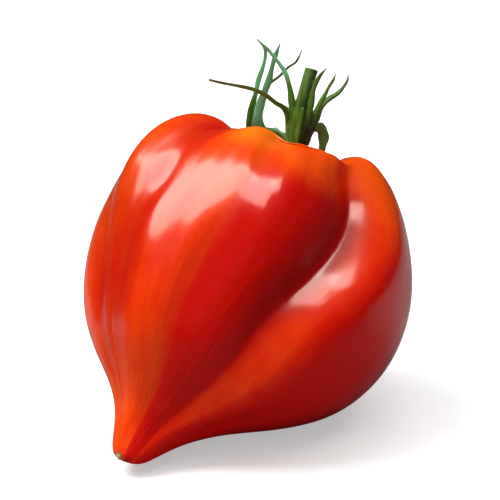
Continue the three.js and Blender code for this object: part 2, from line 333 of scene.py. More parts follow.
class Graph:
    """A node tree that is being filled."""

    def __init__(self, tree: bpy.types.NodeTree) -> None:
        """Starts from an empty tree."""
        self.tree = tree
        tree.nodes.clear()

    def node(self, kind: str, inputs: dict[str | int, object] | None = None,
             **settings: object) -> bpy.types.Node:
        """Adds a node.

        Args:
            kind: Node type without the leading ShaderNode.
            inputs: Values or output sockets for its inputs, by name or number.
            settings: Properties of the node.

        Returns:
            The new node.
        """
        made = self.tree.nodes.new("ShaderNode" + kind)
        for name, value in settings.items():
            setattr(made, name, value)
        for key, value in (inputs or {}).items():
            self.feed(made.inputs[key], value)
        return made

    def feed(self, socket: bpy.types.NodeSocket, value: object) -> None:
        """Links an output socket to the input, or sets the input's own value.

        Args:
            socket: The input.
            value: The output socket, number, vector or colour for it.
        """
        if isinstance(value, bpy.types.NodeSocket):
            self.tree.links.new(value, socket)
        elif isinstance(value, tuple) and len(value) == 3 and socket.type == "RGBA":
            socket.default_value = (*value, 1.0)
        else:
            socket.default_value = value

    def mix(self, share: object, first: object, second: object) -> bpy.types.NodeSocket:
        """A colour between two, by a share from 0 to 1."""
        return self.node("Mix", {0: share, 6: first, 7: second}, data_type="RGBA").outputs[2]

    def step(self, kind: str, first: object, second: object = 0.0,
             third: object = 0.0) -> bpy.types.NodeSocket:
        """One step of arithmetic, such as ADD or MULTIPLY."""
        made = self.node("Math", {0: first, 1: second, 2: third}, operation=kind)
        return made.outputs[0]

    def span(self, value: object, low: float, high: float, to_low: float = 0.0,
             to_high: float = 1.0) -> bpy.types.NodeSocket:
        """Value moved smoothly from one span to another and held at its ends."""
        made = self.node("MapRange", {"Value": value, "From Min": low, "From Max": high, "To Min": to_low,
                                      "To Max": to_high}, interpolation_type="SMOOTHSTEP")
        return made.outputs["Result"]

    def mark(self, name: str, output: str = "Fac") -> bpy.types.NodeSocket:
        """Reads a value or, as Vector, a vector that the mesh carries."""
        return self.node("Attribute", attribute_name=name, attribute_type="GEOMETRY").outputs[output]

    def noise(self, vector: object, scale: object, detail: float = 2.0,
              roughness: float = 0.5) -> bpy.types.NodeSocket:
        """Cloudy values from 0 to 1, about 0.5 in the middle."""
        made = self.node("TexNoise", {"Vector": vector, "Scale": scale, "Detail": detail,
                                      "Roughness": roughness})
        return made.outputs["Fac"]

    def blend(self, first: object, share: float, second: object, rest: float) -> bpy.types.NodeSocket:
        """The first value times its share plus the second times the rest."""
        return self.step("MULTIPLY_ADD", first, share, self.step("MULTIPLY", second, rest))

    def swing(self, value: object, amount: float) -> bpy.types.NodeSocket:
        """A value from 0 to 1 made to swing by half the amount either side of zero."""
        return self.step("MULTIPLY_ADD", value, amount, -0.5 * amount)

    def bump(self, height: object, strength: float, distance: float) -> bpy.types.NodeSocket:
        """The normal of a surface roughened by a height, at a distance in metres."""
        return self.node("Bump", {"Strength": strength, "Distance": distance, "Height": height}).outputs[0]

    def stretched(self, vector: object, scale: Vector3) -> bpy.types.NodeSocket:
        """Coordinates stretched by a factor along each axis."""
        return self.node("Mapping", {"Vector": vector, "Scale": scale}).outputs[0]

    def places(self) -> bpy.types.NodeSocket:
        """The piece's own Object coordinates, in metres."""
        return self.node("TexCoord").outputs["Object"]


def new_group(name: str, inputs: dict[str, tuple[str, object]],
              outputs: dict[str, str]) -> tuple[Graph, bpy.types.Node, bpy.types.Node]:
    """An empty shader node group with its sockets.

    Args:
        name: Name of the group.
        inputs: Socket kind and default value by name.
        outputs: Socket kind by name.

    Returns:
        The graph to fill it with, and its input and output nodes.
    """
    tree = bpy.data.node_groups.new(name, "ShaderNodeTree")
    for label, (kind, value) in inputs.items():
        socket = tree.interface.new_socket(label, in_out="INPUT", socket_type="NodeSocket" + kind)
        if kind != "Vector":
            socket.default_value = value
    for label, kind in outputs.items():
        tree.interface.new_socket(label, in_out="OUTPUT", socket_type="NodeSocket" + kind)
    graph = Graph(tree)
    return graph, tree.nodes.new("NodeGroupInput"), tree.nodes.new("NodeGroupOutput")


def mottle_group() -> bpy.types.NodeTree:
    """Cloudy mottling with tiny pale dots, used by the skin and by the greens.

    Cloud is noise of two sizes averaged. Dots are the middles of small cells, faded by the cloud.

    Returns:
        The group, with outputs Cloud, Dots and Grain.
    """
    graph, given, made = new_group(
        "mottle", {"Vector": ("Vector", None), "Cloud Scale": ("Float", 60.0), "Dot Scale": ("Float", 900.0)},
        {"Cloud": "Float", "Dots": "Float", "Grain": "Float"})
    vector, cloud_scale, dot_scale = (given.outputs[name] for name in ("Vector", "Cloud Scale", "Dot Scale"))
    large = graph.noise(vector, cloud_scale, 3.0)
    small = graph.noise(vector, graph.step("MULTIPLY", cloud_scale, 4.3), 3.0)
    cells = graph.node("TexVoronoi", {"Vector": vector, "Scale": dot_scale})
    near = graph.span(cells.outputs["Distance"], 0.12, 0.36, 1.0, 0.0)
    kept = graph.span(small, 0.47, 0.6)
    graph.feed(made.inputs["Cloud"], graph.blend(large, 0.65, small, 0.35))
    graph.feed(made.inputs["Dots"], graph.step("MULTIPLY", near, kept))
    graph.feed(made.inputs["Grain"], graph.noise(vector, dot_scale))
    return graph.tree


def fibre_group() -> bpy.types.NodeTree:
    """Lengthwise fibres, used by the sepals, the cup and the stalk.

    Fibres are noise drawn out along the piece: the mark's first two values run round it, the third
    runs along it and counts little.

    Returns:
        The group, with outputs Fibre and Height.
    """
    graph, given, made = new_group(
        "fibre", {"Vector": ("Vector", None), "Scale": ("Float", 8.0)}, {"Fibre": "Float", "Height": "Float"})
    drawn = graph.stretched(given.outputs["Vector"], (1.0, 1.0, 0.12))
    scale = given.outputs["Scale"]
    coarse, fine = graph.noise(drawn, scale, 3.0), graph.noise(drawn, graph.step("MULTIPLY", scale, 3.1))
    both = graph.blend(coarse, 0.6, fine, 0.4)
    graph.feed(made.inputs["Fibre"], graph.span(both, 0.36, 0.64))
    graph.feed(made.inputs["Height"], both)
    return graph.tree


class Groups:
    """The node groups, each built once."""

    def __init__(self) -> None:
        """Builds them."""
        self.mottle_tree = mottle_group()
        self.fibre_tree = fibre_group()

    def mottle(self, graph: Graph, cloud_scale: float, dot_scale: float) -> Outputs:
        """Places the mottling on Object coordinates, and gives its outputs by name."""
        return graph.node("Group", {"Vector": graph.places(), "Cloud Scale": cloud_scale,
                                    "Dot Scale": dot_scale}, node_tree=self.mottle_tree).outputs

    def fibres(self, graph: Graph, vector: object, scale: float) -> Outputs:
        """Places the fibres on coordinates of their own, and gives their outputs by name."""
        return graph.node("Group", {"Vector": vector, "Scale": scale}, node_tree=self.fibre_tree).outputs


def new_material(name: str, base: Colour) -> tuple[bpy.types.Material, Graph, bpy.types.Node]:
    """A material with a Principled shader.

    Args:
        name: Name of the material.
        base: Plain colour for the viewport.

    Returns:
        The material, its graph and its shader node.
    """
    material = bpy.data.materials.new(name)
    material.use_nodes = True
    material.diffuse_color = (*base, 1.0)
    graph = Graph(material.node_tree)
    shader = graph.node("BsdfPrincipled")
    graph.node("OutputMaterial", {"Surface": shader.outputs[0]})
    return material, graph, shader


@dataclass(frozen=True)
class SkinFinish:
    """Smooth waxy tomato skin.

    Attributes:
        ripe: Red of the ripe flesh.
        orange: Orange-red of the ribs.
        shoulder: Orange near the stalk.
        deep: Painted shade: dark red in the furrows and on the front lobe's side that falls to the crease.
        cork: Corky ring round the stalk.
        dots: Orange of the tiny dots.
    """

    ripe: Colour = (0.66, 0.003, 0.0006)
    orange: Colour = (0.93, 0.090, 0.001)
    shoulder: Colour = (0.97, 0.17, 0.002)
    deep: Colour = (0.32, 0.001, 0.0006)
    cork: Colour = (0.25, 0.17, 0.06)
    dots: Colour = (1.0, 0.30, 0.08)

    def material(self, groups: Groups) -> bpy.types.Material:
        """Lobe colour with painted light and shade, streaks along the lobes, furrows darkened with painted
        shade, pale dots and a waxy coat.

        Args:
            groups: The shared node groups.

        Returns:
            The material.
        """
        material, graph, shader = new_material("tomato_skin", self.ripe)
        flow = graph.mark("flow", "Vector")
        blush_and_painted_light, furrow, crown, ring = (graph.mark(name) for name in ("blush_and_painted_light", "furrow", "crown", "stalk_ring"))
        mottle = groups.mottle(graph, 42.0, 1100.0)
        streaks = graph.noise(graph.stretched(flow, (1.0, 1.0, 0.35)), 5.5, 4.0, 0.6)
        fine = graph.noise(graph.stretched(flow, (1.0, 1.0, 0.2)), 21.0, 3.0, 0.55)
        streak = graph.blend(streaks, 0.7, fine, 0.3)
        uneven_tone = graph.step("ADD", graph.swing(streak, 1.1), graph.swing(mottle["Cloud"], 0.7))
        # Orange share from the mark: the skin's own orange with painted light and painted shade in it
        tone = graph.step("MULTIPLY_ADD", uneven_tone, 0.9, blush_and_painted_light)
        colour = graph.mix(graph.span(tone, 0.0, 1.0), self.ripe, self.orange)
        high = graph.step("MULTIPLY_ADD", uneven_tone, 0.6, crown)
        colour = graph.mix(graph.span(high, 0.25, 1.0), colour, self.shoulder)
        # Painted shade: dark red where the furrow mark is
        colour = graph.mix(furrow, colour, self.deep)
        colour = graph.mix(graph.step("MULTIPLY", mottle["Dots"], 0.04), colour, self.dots)
        edge = graph.span(graph.step("ADD", ring, graph.swing(streak, 0.8)), 0.35, 0.75)
        colour = graph.mix(edge, colour, self.cork)
        rough = graph.step("MULTIPLY_ADD", mottle["Cloud"], 0.08, 0.14)
        graph.feed(shader.inputs["Base Color"], colour)
        graph.feed(shader.inputs["Roughness"], graph.step("MULTIPLY_ADD", edge, 0.4, rough))
        height = graph.blend(mottle["Grain"], 0.012, fine, 0.05)
        graph.feed(shader.inputs["Normal"], graph.bump(height, 1.0, 0.0012))
        shader.inputs["Specular Tint"].default_value = (1.0, 0.84, 0.72, 1.0)
        shader.inputs["Coat Weight"].default_value = 0.25
        shader.inputs["Coat Roughness"].default_value = 0.12
        shader.inputs["Subsurface Weight"].default_value = 0.12
        shader.inputs["Subsurface Radius"].default_value = (1.0, 0.12, 0.05)
        shader.inputs["Subsurface Scale"].default_value = 0.003
        return material


@dataclass(frozen=True)
class LeafFinish:
    """Soft matte green tissue with fibres, paler below and browner towards the tips.

    Attributes:
        name: Name of the material.
        dark: Dark green of the upper face.
        fresh: Mid green between the fibres.
        pale: Bluish green of the downy face.
        dry: Olive brown of the tips.
        shade: Painted shade: darkest green between the blades and on the sides away from the light.
        midrib: Yellow green of the midrib.
        dots: Pale green of the tiny dots.
    """

    name: str
    dark: Colour = (0.016, 0.065, 0.001)
    fresh: Colour = (0.13, 0.31, 0.012)
    pale: Colour = (0.24, 0.70, 0.39)
    dry: Colour = (0.13, 0.13, 0.010)
    shade: Colour = (0.004, 0.018, 0.0005)
    midrib: Colour = (0.20, 0.32, 0.03)
    dots: Colour = (0.35, 0.45, 0.12)

    def material(self, groups: Groups) -> bpy.types.Material:
        """Fibres between the dark and fresh green, the downy pale face, a pale midrib, dry tips and painted
        shade.

        Args:
            groups: The shared node groups.

        Returns:
            The material.
        """
        material, graph, shader = new_material(self.name, self.fresh)
        down, dryness, rib, deep = (graph.mark(name) for name in ("down", "dry", "rib", "deep"))
        mottle = groups.mottle(graph, 240.0, 2600.0)
        fibre = groups.fibres(graph, graph.mark("flow", "Vector"), 5.0)
        both = graph.blend(fibre["Fibre"], 0.55, mottle["Cloud"], 0.55)
        colour = graph.mix(graph.span(both, 0.1, 0.95), self.dark, self.fresh)
        downy = graph.step("ADD", down, graph.swing(mottle["Cloud"], 0.6))
        colour = graph.mix(graph.span(downy, 0.1, 0.95), colour, self.pale)
        colour = graph.mix(graph.step("MULTIPLY", rib, 0.45), colour, self.midrib)
        dried = graph.step("ADD", dryness, graph.swing(fibre["Height"], 0.7))
        colour = graph.mix(graph.span(dried, 0.2, 1.0), colour, self.dry)
        colour = graph.mix(graph.step("MULTIPLY", mottle["Dots"], 0.2), colour, self.dots)
        # Painted shade: the darkest green where the deep mark is
        colour = graph.mix(graph.span(deep, 0.0, 1.0), colour, self.shade)
        graph.feed(shader.inputs["Base Color"], colour)
        graph.feed(shader.inputs["Roughness"], graph.step("MULTIPLY_ADD", mottle["Grain"], 0.2, 0.45))
        height = graph.blend(fibre["Height"], 0.8, mottle["Grain"], 0.3)
        graph.feed(shader.inputs["Normal"], graph.bump(height, 0.7, 0.0003))
        shader.inputs["Sheen Weight"].default_value = 0.05
        shader.inputs["Sheen Roughness"].default_value = 0.4
        shader.inputs["Sheen Tint"].default_value = (0.8, 0.95, 0.75, 1.0)
        shader.inputs["Subsurface Weight"].default_value = 0.08
        shader.inputs["Subsurface Radius"].default_value = (0.4, 0.8, 0.15)
        shader.inputs["Subsurface Scale"].default_value = 0.001
        return material


@dataclass(frozen=True)
class CorkFinish:
    """Dry corky tissue of the scar at the tip and of the cut end of the stalk.

    Attributes:
        name: Name of the material.
        light: Lighter tissue.
        dark: Darker tissue in the pits.
        scale: Size of the pits, as a noise scale for metres.
    """

    name: str
    light: Colour = (0.62, 0.42, 0.18)
    dark: Colour = (0.20, 0.10, 0.03)
    scale: float = 2200.0

    def material(self, groups: Groups) -> bpy.types.Material:
        """Pitted tissue with a darker rim.

        Args:
            groups: The shared node groups.

        Returns:
            The material.
        """
        material, graph, shader = new_material(self.name, self.light)
        mottle = groups.mottle(graph, self.scale / 3.0, self.scale)
        share = graph.step("ADD", graph.mark("rim"), graph.swing(mottle["Cloud"], 1.6))
        colour = graph.mix(graph.span(share, 0.0, 0.9), self.light, self.dark)
        graph.feed(shader.inputs["Base Color"], colour)
        graph.feed(shader.inputs["Roughness"], graph.step("MULTIPLY_ADD", mottle["Grain"], 0.2, 0.6))
        graph.feed(shader.inputs["Normal"], graph.bump(mottle["Cloud"], 0.8, 0.0003))
        return material


@dataclass(frozen=True)
class FloorFinish:
    """Plain pale matt studio floor.

    Attributes:
        colour: Its pale grey.
        bounced: Grey that it lends to the matt sides of the fruit.
        mirrored: Brightness in which gloss mirrors it, near the camera and behind the fruit.
        turn: Where along Y the mirrored brightness changes, in metres.
        glow: Painted light: brightness added for the camera, which lightens the fruit's shadow under it and
            whitens the floor far from it.
        reach: Distances in metres between which the glow grows.
    """

    colour: Colour = (0.80, 0.80, 0.80)
    bounced: Colour = (0.42, 0.42, 0.42)
    mirrored: tuple[float, float] = (0.02, 0.25)
    turn: tuple[float, float] = (-0.06, 0.06)
    glow: tuple[float, float] = (0.42, 1.0)
    reach: tuple[float, float] = (0.05, 0.6)

    def material(self) -> bpy.types.Material:
        """Pale grey with the faintest unevenness, whose painted glow lightens the fruit's shadow and melts
        the floor into the white surroundings.

        Returns:
            The material.
        """
        material, graph, shader = new_material("floor_pale", self.colour)
        places = graph.places()
        path = graph.node("LightPath").outputs
        pale = graph.mix(graph.noise(places, 2.0), self.colour, tuple(0.99 * part for part in self.colour))
        behind = graph.span(graph.node("SeparateXYZ", {0: places}).outputs["Y"], *self.turn, *self.mirrored)
        mirrored = graph.node("CombineColor", {0: behind, 1: behind, 2: behind}).outputs[0]
        quiet = graph.mix(path["Is Diffuse Ray"], pale, self.bounced)
        graph.feed(shader.inputs["Base Color"], graph.mix(path["Is Glossy Ray"], quiet, mirrored))
        away = graph.node("VectorMath", {0: places}, operation="LENGTH").outputs["Value"]
        # Painted light: a glow that only the camera sees, weaker under the fruit, where it lightens the
        # shadow, and full white far off
        glow = graph.step("MULTIPLY", graph.span(away, *self.reach, *self.glow), path["Is Camera Ray"])
        shader.inputs["Emission Color"].default_value = (*WHITE, 1.0)
        graph.feed(shader.inputs["Emission Strength"], glow)
        shader.inputs["Roughness"].default_value = 0.9
        shader.inputs["Specular IOR Level"].default_value = 0.1
        return material


# The fruit


@dataclass(frozen=True)
class Furrow:
    """A furrow between two lobes.

    Attributes:
        top: Angle round the axis near the stalk, in degrees from the upper side.
        low: Angle near the tip.
        depth: Depth in millimetres.
        left: Width below the line's angle, in degrees.
        right: Width above it.
        round: How round its bottom is.
        run: Where it begins, is full, starts to fade and ends, from the stalk 0 to the tip 1.
        lip: Rise of the lobe beside it, how many degrees above the line and its half width.
        pinch: How much narrower it is above its line near the stalk, as a share.
        lip_run: Where the lip begins, is full, starts to fade and ends.
        pinch_end: Where the pinch starts to fade and ends.
    """

    top: float
    low: float
    depth: float
    left: float
    right: float
    round: float
    run: Run
    lip: Vector3 = (0.0, 20.0, 10.0)
    pinch: float = 0.0
    lip_run: Run = (0.25, 0.49, 0.62, 0.90)
    pinch_end: tuple[float, float] = (0.22, 0.44)

    def length(self, t: Array) -> Array:
        """How full the furrow is at t, from 0 to 1."""
        return between(self.run, t)

    def away(self, t: Array, degrees: Array, bend: tuple[float, float]) -> Array:
        """Degrees from the furrow's line, which bends from its top to its low angle."""
        return apart(degrees, self.top + (self.low - self.top) * ease(*bend, t))

    def raised(self, t: Array, degrees: Array, bend: tuple[float, float]) -> Array:
        """Height of the lobe beside it: rise times exp(-((distance - offset) / half width)^2)."""
        rise, offset, half = self.lip
        return rise * between(self.lip_run, t) * bell(self.away(t, degrees, bend) - offset, half)

    def share(self, t: Array, degrees: Array, bend: tuple[float, float]) -> Array:
        """How much of its depth a place has: exp(-(hypot(distance, round) - round)) times the run.

        Args:
            t: Place from the stalk 0 to the tip 1.
            degrees: Angle round the axis.
            bend: Where furrows turn from their top to their low angle.

        Returns:
            Shares from 0 to 1.
        """
        away = self.away(t, degrees, bend)
        right = self.right * (1.0 - self.pinch * (1.0 - ease(*self.pinch_end, t)))
        reach = np.hypot(away / np.where(away < 0, self.left, right), self.round) - self.round
        return self.length(t) * np.exp(-reach)


@dataclass(frozen=True)
class Swell:
    """A smooth swelling of the skin, or a hollow where its height is negative.

    Attributes:
        angle: Angle round the axis, in degrees from the upper side.
        rise: Height in millimetres.
        half: Half width in degrees.
        place: Place from the stalk 0 to the tip 1.
        length: Half length on the same scale.
    """

    angle: float
    rise: float
    half: float
    place: float
    length: float

    def height(self, t: Array, degrees: Array) -> Array:
        """Rise times exp(-(degrees away / half width)^2) times exp(-(way along / half length)^2)."""
        return self.rise * bell(apart(degrees, self.angle), self.half) * bell(t - self.place, self.length)


@dataclass(frozen=True)
class Fruit:
    """The lobed body: a cubic B-spline over control rings, with furrows and swellings on it.

    Attributes:
        elevation: Lean of the axis from the tip to the stalk, in degrees above the horizontal.
        heading: Heading of the axis, in degrees from +Y towards +X.
        origin: A point on the axis.
        rings: Height along the axis, centre across, centre up, half width and half depth.
        furrows: The furrows.
        bend: Where furrows turn from their top to their low angle.
        swells: The swellings that the solid has too.
        fine_swells: Low swellings of the shown skin alone, which shape its highlights.
        fullness: Even fullness over the middle.
        full_run: Where the fullness begins, is whole, starts to fade and ends.
        skin_run: The same for all relief, which is none at the stalk and the tip.
        rib_waves: Height, count, phase and slant of the faint ribs.
        rib_run: Where the ribs run.
        fold_waves: Height, count, phase and slant of the folds at the hollow.
        fold_run: Where the folds run.
        unevenness: Height of the last soft unevenness.
        crowding: How much the columns crowd to the deepest furrow.
        around: Columns round the fruit.
        onward: Rows from the stalk to the tip.
    """

    elevation: float = 57.0
    heading: float = 35.0
    origin: Vector3 = (-1.49, -8.95, 41.3)
    rings: tuple[tuple[float, ...], ...] = (
        (33.0, 2.0, 0.0, 0.0, 0.0), (33.5, 2.0, 0.0, 6.5, 6.5), (38.5, -1.0, -3.0, 15.0, 14.0),
        (43.0, -8.0, -9.0, 27.0, 26.5), (37.5, -9.5, -9.0, 34.0, 34.0), (25.0, -8.0, -8.0, 41.5, 42.5),
        (6.0, -6.0, -7.0, 48.0, 47.5), (-12.0, -4.5, -5.0, 45.0, 45.5), (-28.0, -3.0, -1.0, 35.5, 38.0),
        (-39.0, -3.5, 6.0, 18.0, 19.5), (-48.0, -5.1, 13.0, 9.1, 9.0), (-57.3, -3.4, 19.5, 5.0, 4.5),
        (-57.3, -3.4, 19.5, 0.0, 0.0))
    furrows: tuple[Furrow, ...] = (
        Furrow(80, 48, 9.2, 24, 13, 0.22, (0.10, 0.42, 0.48, 0.93), (2.4, 19.0, 11.0), 0.35),
        Furrow(31, 18, 3.0, 8, 12, 0.6, (0.08, 0.25, 0.50, 0.92)),
        Furrow(11, 6, 0.5, 6, 6, 0.8, (0.12, 0.35, 0.50, 0.80)),
        Furrow(-6, -14, 4.2, 9, 9, 0.8, (0.06, 0.22, 0.42, 0.90)),
        Furrow(-38, -28, 3.4, 8, 13, 0.9, (0.06, 0.22, 0.50, 0.92)),
        Furrow(-60, -56, 2.4, 8, 8, 0.8, (0.06, 0.22, 0.50, 0.90)),
        Furrow(-90, -84, 4.5, 12, 12, 0.8, (0.06, 0.22, 0.50, 0.90)),
        Furrow(-122, -120, 3.6, 12, 12, 0.9, (0.06, 0.22, 0.50, 0.88)),
        Furrow(-160, -160, 4.5, 12, 12, 0.7, (0.06, 0.22, 0.50, 0.90)),
        Furrow(160, 155, 4.5, 12, 12, 0.8, (0.06, 0.22, 0.50, 0.90)))
    bend: tuple[float, float] = (0.35, 0.63)
    swells: tuple[Swell, ...] = (
        Swell(-28, 4.3, 15, 0.37, 0.14), Swell(92, 1.9, 18, 0.28, 0.11), Swell(112, 0.8, 26, 0.48, 0.15),
        Swell(122, 3.3, 20, 0.36, 0.12), Swell(128, 1.0, 26, 0.70, 0.12), Swell(155, -4.5, 26, 0.80, 0.12),
        Swell(40, 2.3, 15, 0.44, 0.14), Swell(44, -1.8, 14, 0.27, 0.10), Swell(-50, -2.4, 18, 0.42, 0.14),
        Swell(-80, -3.1, 22, 0.55, 0.14), Swell(-70, -1.8, 25, 0.78, 0.12), Swell(-175, 0.8, 22, 0.64, 0.10),
        Swell(7, -1.0, 8, 0.28, 0.06), Swell(-38, 1.2, 18, 0.45, 0.10), Swell(100, 1.5, 14, 0.22, 0.06),
        Swell(-19, 1.3, 8, 0.23, 0.07))
    fine_swells: tuple[Swell, ...] = (
        Swell(9, -1.2, 10, 0.44, 0.085), Swell(25, 1.3, 5, 0.43, 0.05), Swell(-12, 1.1, 4.5, 0.43, 0.03),
        Swell(-33, -1.6, 16, 0.54, 0.10), Swell(-5, 0.9, 8.5, 0.385, 0.05), Swell(-7, 1.0, 6.5, 0.53, 0.05),
        Swell(30, 0.9, 9.5, 0.46, 0.055))
    fullness: float = 1.2
    full_run: Run = (0.08, 0.25, 0.60, 0.95)
    skin_run: Run = (0.0, 0.08, 0.96, 1.0)
    rib_waves: tuple[tuple[float, ...], ...] = ((0.07, 17, 1.3, 0), (0.05, 29, 0.4, 3), (0.03, 43, 0, 0))
    rib_run: Run = (0.12, 0.30, 0.75, 0.95)
    fold_waves: tuple[tuple[float, ...], ...] = ((0.28, 15, 0.7, 0), (0.16, 26, 0, 0))
    fold_run: Run = (0.03, 0.12, 0.16, 0.34)
    unevenness: float = 0.16
    crowding: float = 0.45
    around: int = 400
    onward: int = 216

    def axes(self) -> tuple[Array, Array, Array]:
        """Works out the fruit's own directions.

        Returns:
            The directions across the axis, up from it and along it.
        """
        el, az = math.radians(self.elevation), math.radians(self.heading)
        along = np.array((math.cos(el) * math.sin(az), math.cos(el) * math.cos(az), math.sin(el)))
        across = np.array((math.cos(az), -math.sin(az), 0.0))
        return across, np.cross(across, along), along

    def bare(self, t: Array, phi: Array) -> Array:
        """The bare form: uniform cubic B-spline weights over four rings, each an ellipse.

        A ring before the first or past the last is its mirror image, so both ends close smoothly.

        Args:
            t: Place from the stalk 0 to the tip 1.
            phi: Angle in radians.

        Returns:
            Points in millimetres.
        """
        rings = np.array(self.rings)
        flip = np.array((1.0, 1.0, 1.0, -1.0, -1.0))
        rings = np.vstack([rings[1] * flip, rings, rings[-2] * flip])
        x = np.clip(t, 0.0, 1.0) * (len(self.rings) - 1)
        k = np.minimum(x.astype(int), len(self.rings) - 2)
        u = x - k
        weights = ((1 - u) ** 3 / 6, (3 * u**3 - 6 * u**2 + 4) / 6,
                   (-3 * u**3 + 3 * u**2 + 3 * u + 1) / 6, u**3 / 6)
        height, cx, cy, rx, ry = (sum(w * rings[k + j, i] for j, w in enumerate(weights)) for i in range(5))
        origin = np.array(self.origin) + PLACE
        return placed(origin, self.axes(), cx + rx * np.sin(phi), cy + ry * np.cos(phi), height)

    def bare_normal(self, t: Array, phi: Array) -> Array:
        """Outward normals: the step along crossed with the step round, and the axis at the poles.

        Args:
            t: Place from the stalk 0 to the tip 1.
            phi: Angle in radians.

        Returns:
            Unit normals.
        """
        step = 0.002
        slope = self.bare(t + step, phi) - self.bare(t - step, phi)
        around = self.bare(t, phi + step) - self.bare(t, phi - step)
        normal = np.cross(slope, around)
        size = np.linalg.norm(normal, axis=-1, keepdims=True)
        pole = self.axes()[2] * np.where(t < 0.5, 1.0, -1.0)[..., None]
        return np.where(size < 1e-8, pole, normal / np.maximum(size, 1e-12))

    def relief(self, t: Array, phi: Array) -> tuple[Array, Array]:
        """How far the skin stands off the bare form, and how deep in a furrow it is.

        Fullness and Gaussian swellings, less each furrow's share of its depth.

        Args:
            t: Place from the stalk 0 to the tip 1.
            phi: Angle in radians.

        Returns:
            Height in millimetres, and the depth of the furrows there in millimetres.
        """
        degrees = np.degrees(phi)
        height = self.fullness * between(self.full_run, t)
        height = height + sum(swell.height(t, degrees) for swell in self.swells)
        sunk = sum(furrow.depth * furrow.share(t, degrees, self.bend) for furrow in self.furrows)
        raised = sum(furrow.raised(t, degrees, self.bend) for furrow in self.furrows)
        ends = between(self.skin_run, t)
        return (height + raised - sunk) * ends, sunk * ends

    def columns(self, u: Array, t: Array) -> tuple[Array, Array]:
        """Angles of the columns, which crowd to the deepest furrow and bend as the furrows do.

        Args:
            u: Share of the way round.
            t: Place from the stalk 0 to the tip 1.

        Returns:
            Angles in degrees at t, and each column's angle near the stalk.
        """
        even = -360.0 * u
        start = even - np.degrees(self.crowding * np.sin(np.radians(even - self.furrows[0].top)))
        tops = sorted((furrow.top % 360.0, furrow.low - furrow.top) for furrow in self.furrows)
        tops = [(tops[-1][0] - 360.0, tops[-1][1]), *tops, (tops[0][0] + 360.0, tops[0][1])]
        angles, shifts = np.array(tops).T
        place = start % 360.0
        k = np.searchsorted(angles, place, side="right") - 1
        share = ease(0.0, 1.0, (place - angles[k]) / (angles[k + 1] - angles[k]))
        shift = shifts[k] + (shifts[k + 1] - shifts[k]) * share
        return start + shift * ease(*self.bend, t), np.broadcast_to(start, np.broadcast(start, t).shape)

    def surface(self, t: Array, degrees: Array, start: Array) -> tuple[Array, Array]:
        """The shown skin: bare form plus relief, fine swellings, ribs, folds at the hollow and unevenness.

        The ribs are higher on the left, as 0.5 plus 0.9 times a bell 50 degrees wide.

        Args:
            t: Place from the stalk 0 to the tip 1.
            degrees: Angle round the axis.
            start: The column's angle near the stalk, which the ribs follow.

        Returns:
            Points in millimetres, and the depth of the furrows.
        """
        phi = np.radians(degrees)
        bare, normal = self.bare(t, phi), self.bare_normal(t, phi)
        height, sunk = self.relief(t, phi)
        along = np.radians(start)
        left = 0.5 + 0.9 * bell(apart(start, -60.0), 50.0)
        ribs = waves(along, self.rib_waves, t) * left + self.unevenness * uneven(bare, 26.0, 5)
        folds = waves(along, self.fold_waves)
        height = height + sum(swell.height(t, degrees) for swell in self.fine_swells)
        height = height + ribs * between(self.rib_run, t) + folds * between(self.fold_run, t)
        points = bare + normal * height[..., None]
        points[..., 2] = np.maximum(points[..., 2], 0.0)
        return points, sunk

    def build(self, material: bpy.types.Material) -> bpy.types.Object:
        """Builds the skin.

        Args:
            material: The skin's finish.

        Returns:
            The skin.
        """
        t = np.broadcast_to(np.linspace(0.0, 1.0, self.onward)[:, None], (self.onward, self.around))
        degrees, start = self.columns((np.arange(self.around) / self.around)[None], t)
        points, sunk = self.surface(t, degrees, start)
        marks = SkinPaint().marks(self, t, degrees, start, sunk)
        skin = Grid(points, marks).object("fruit_skin", material)
        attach(skin, "root")
        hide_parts("fruit")
        return skin


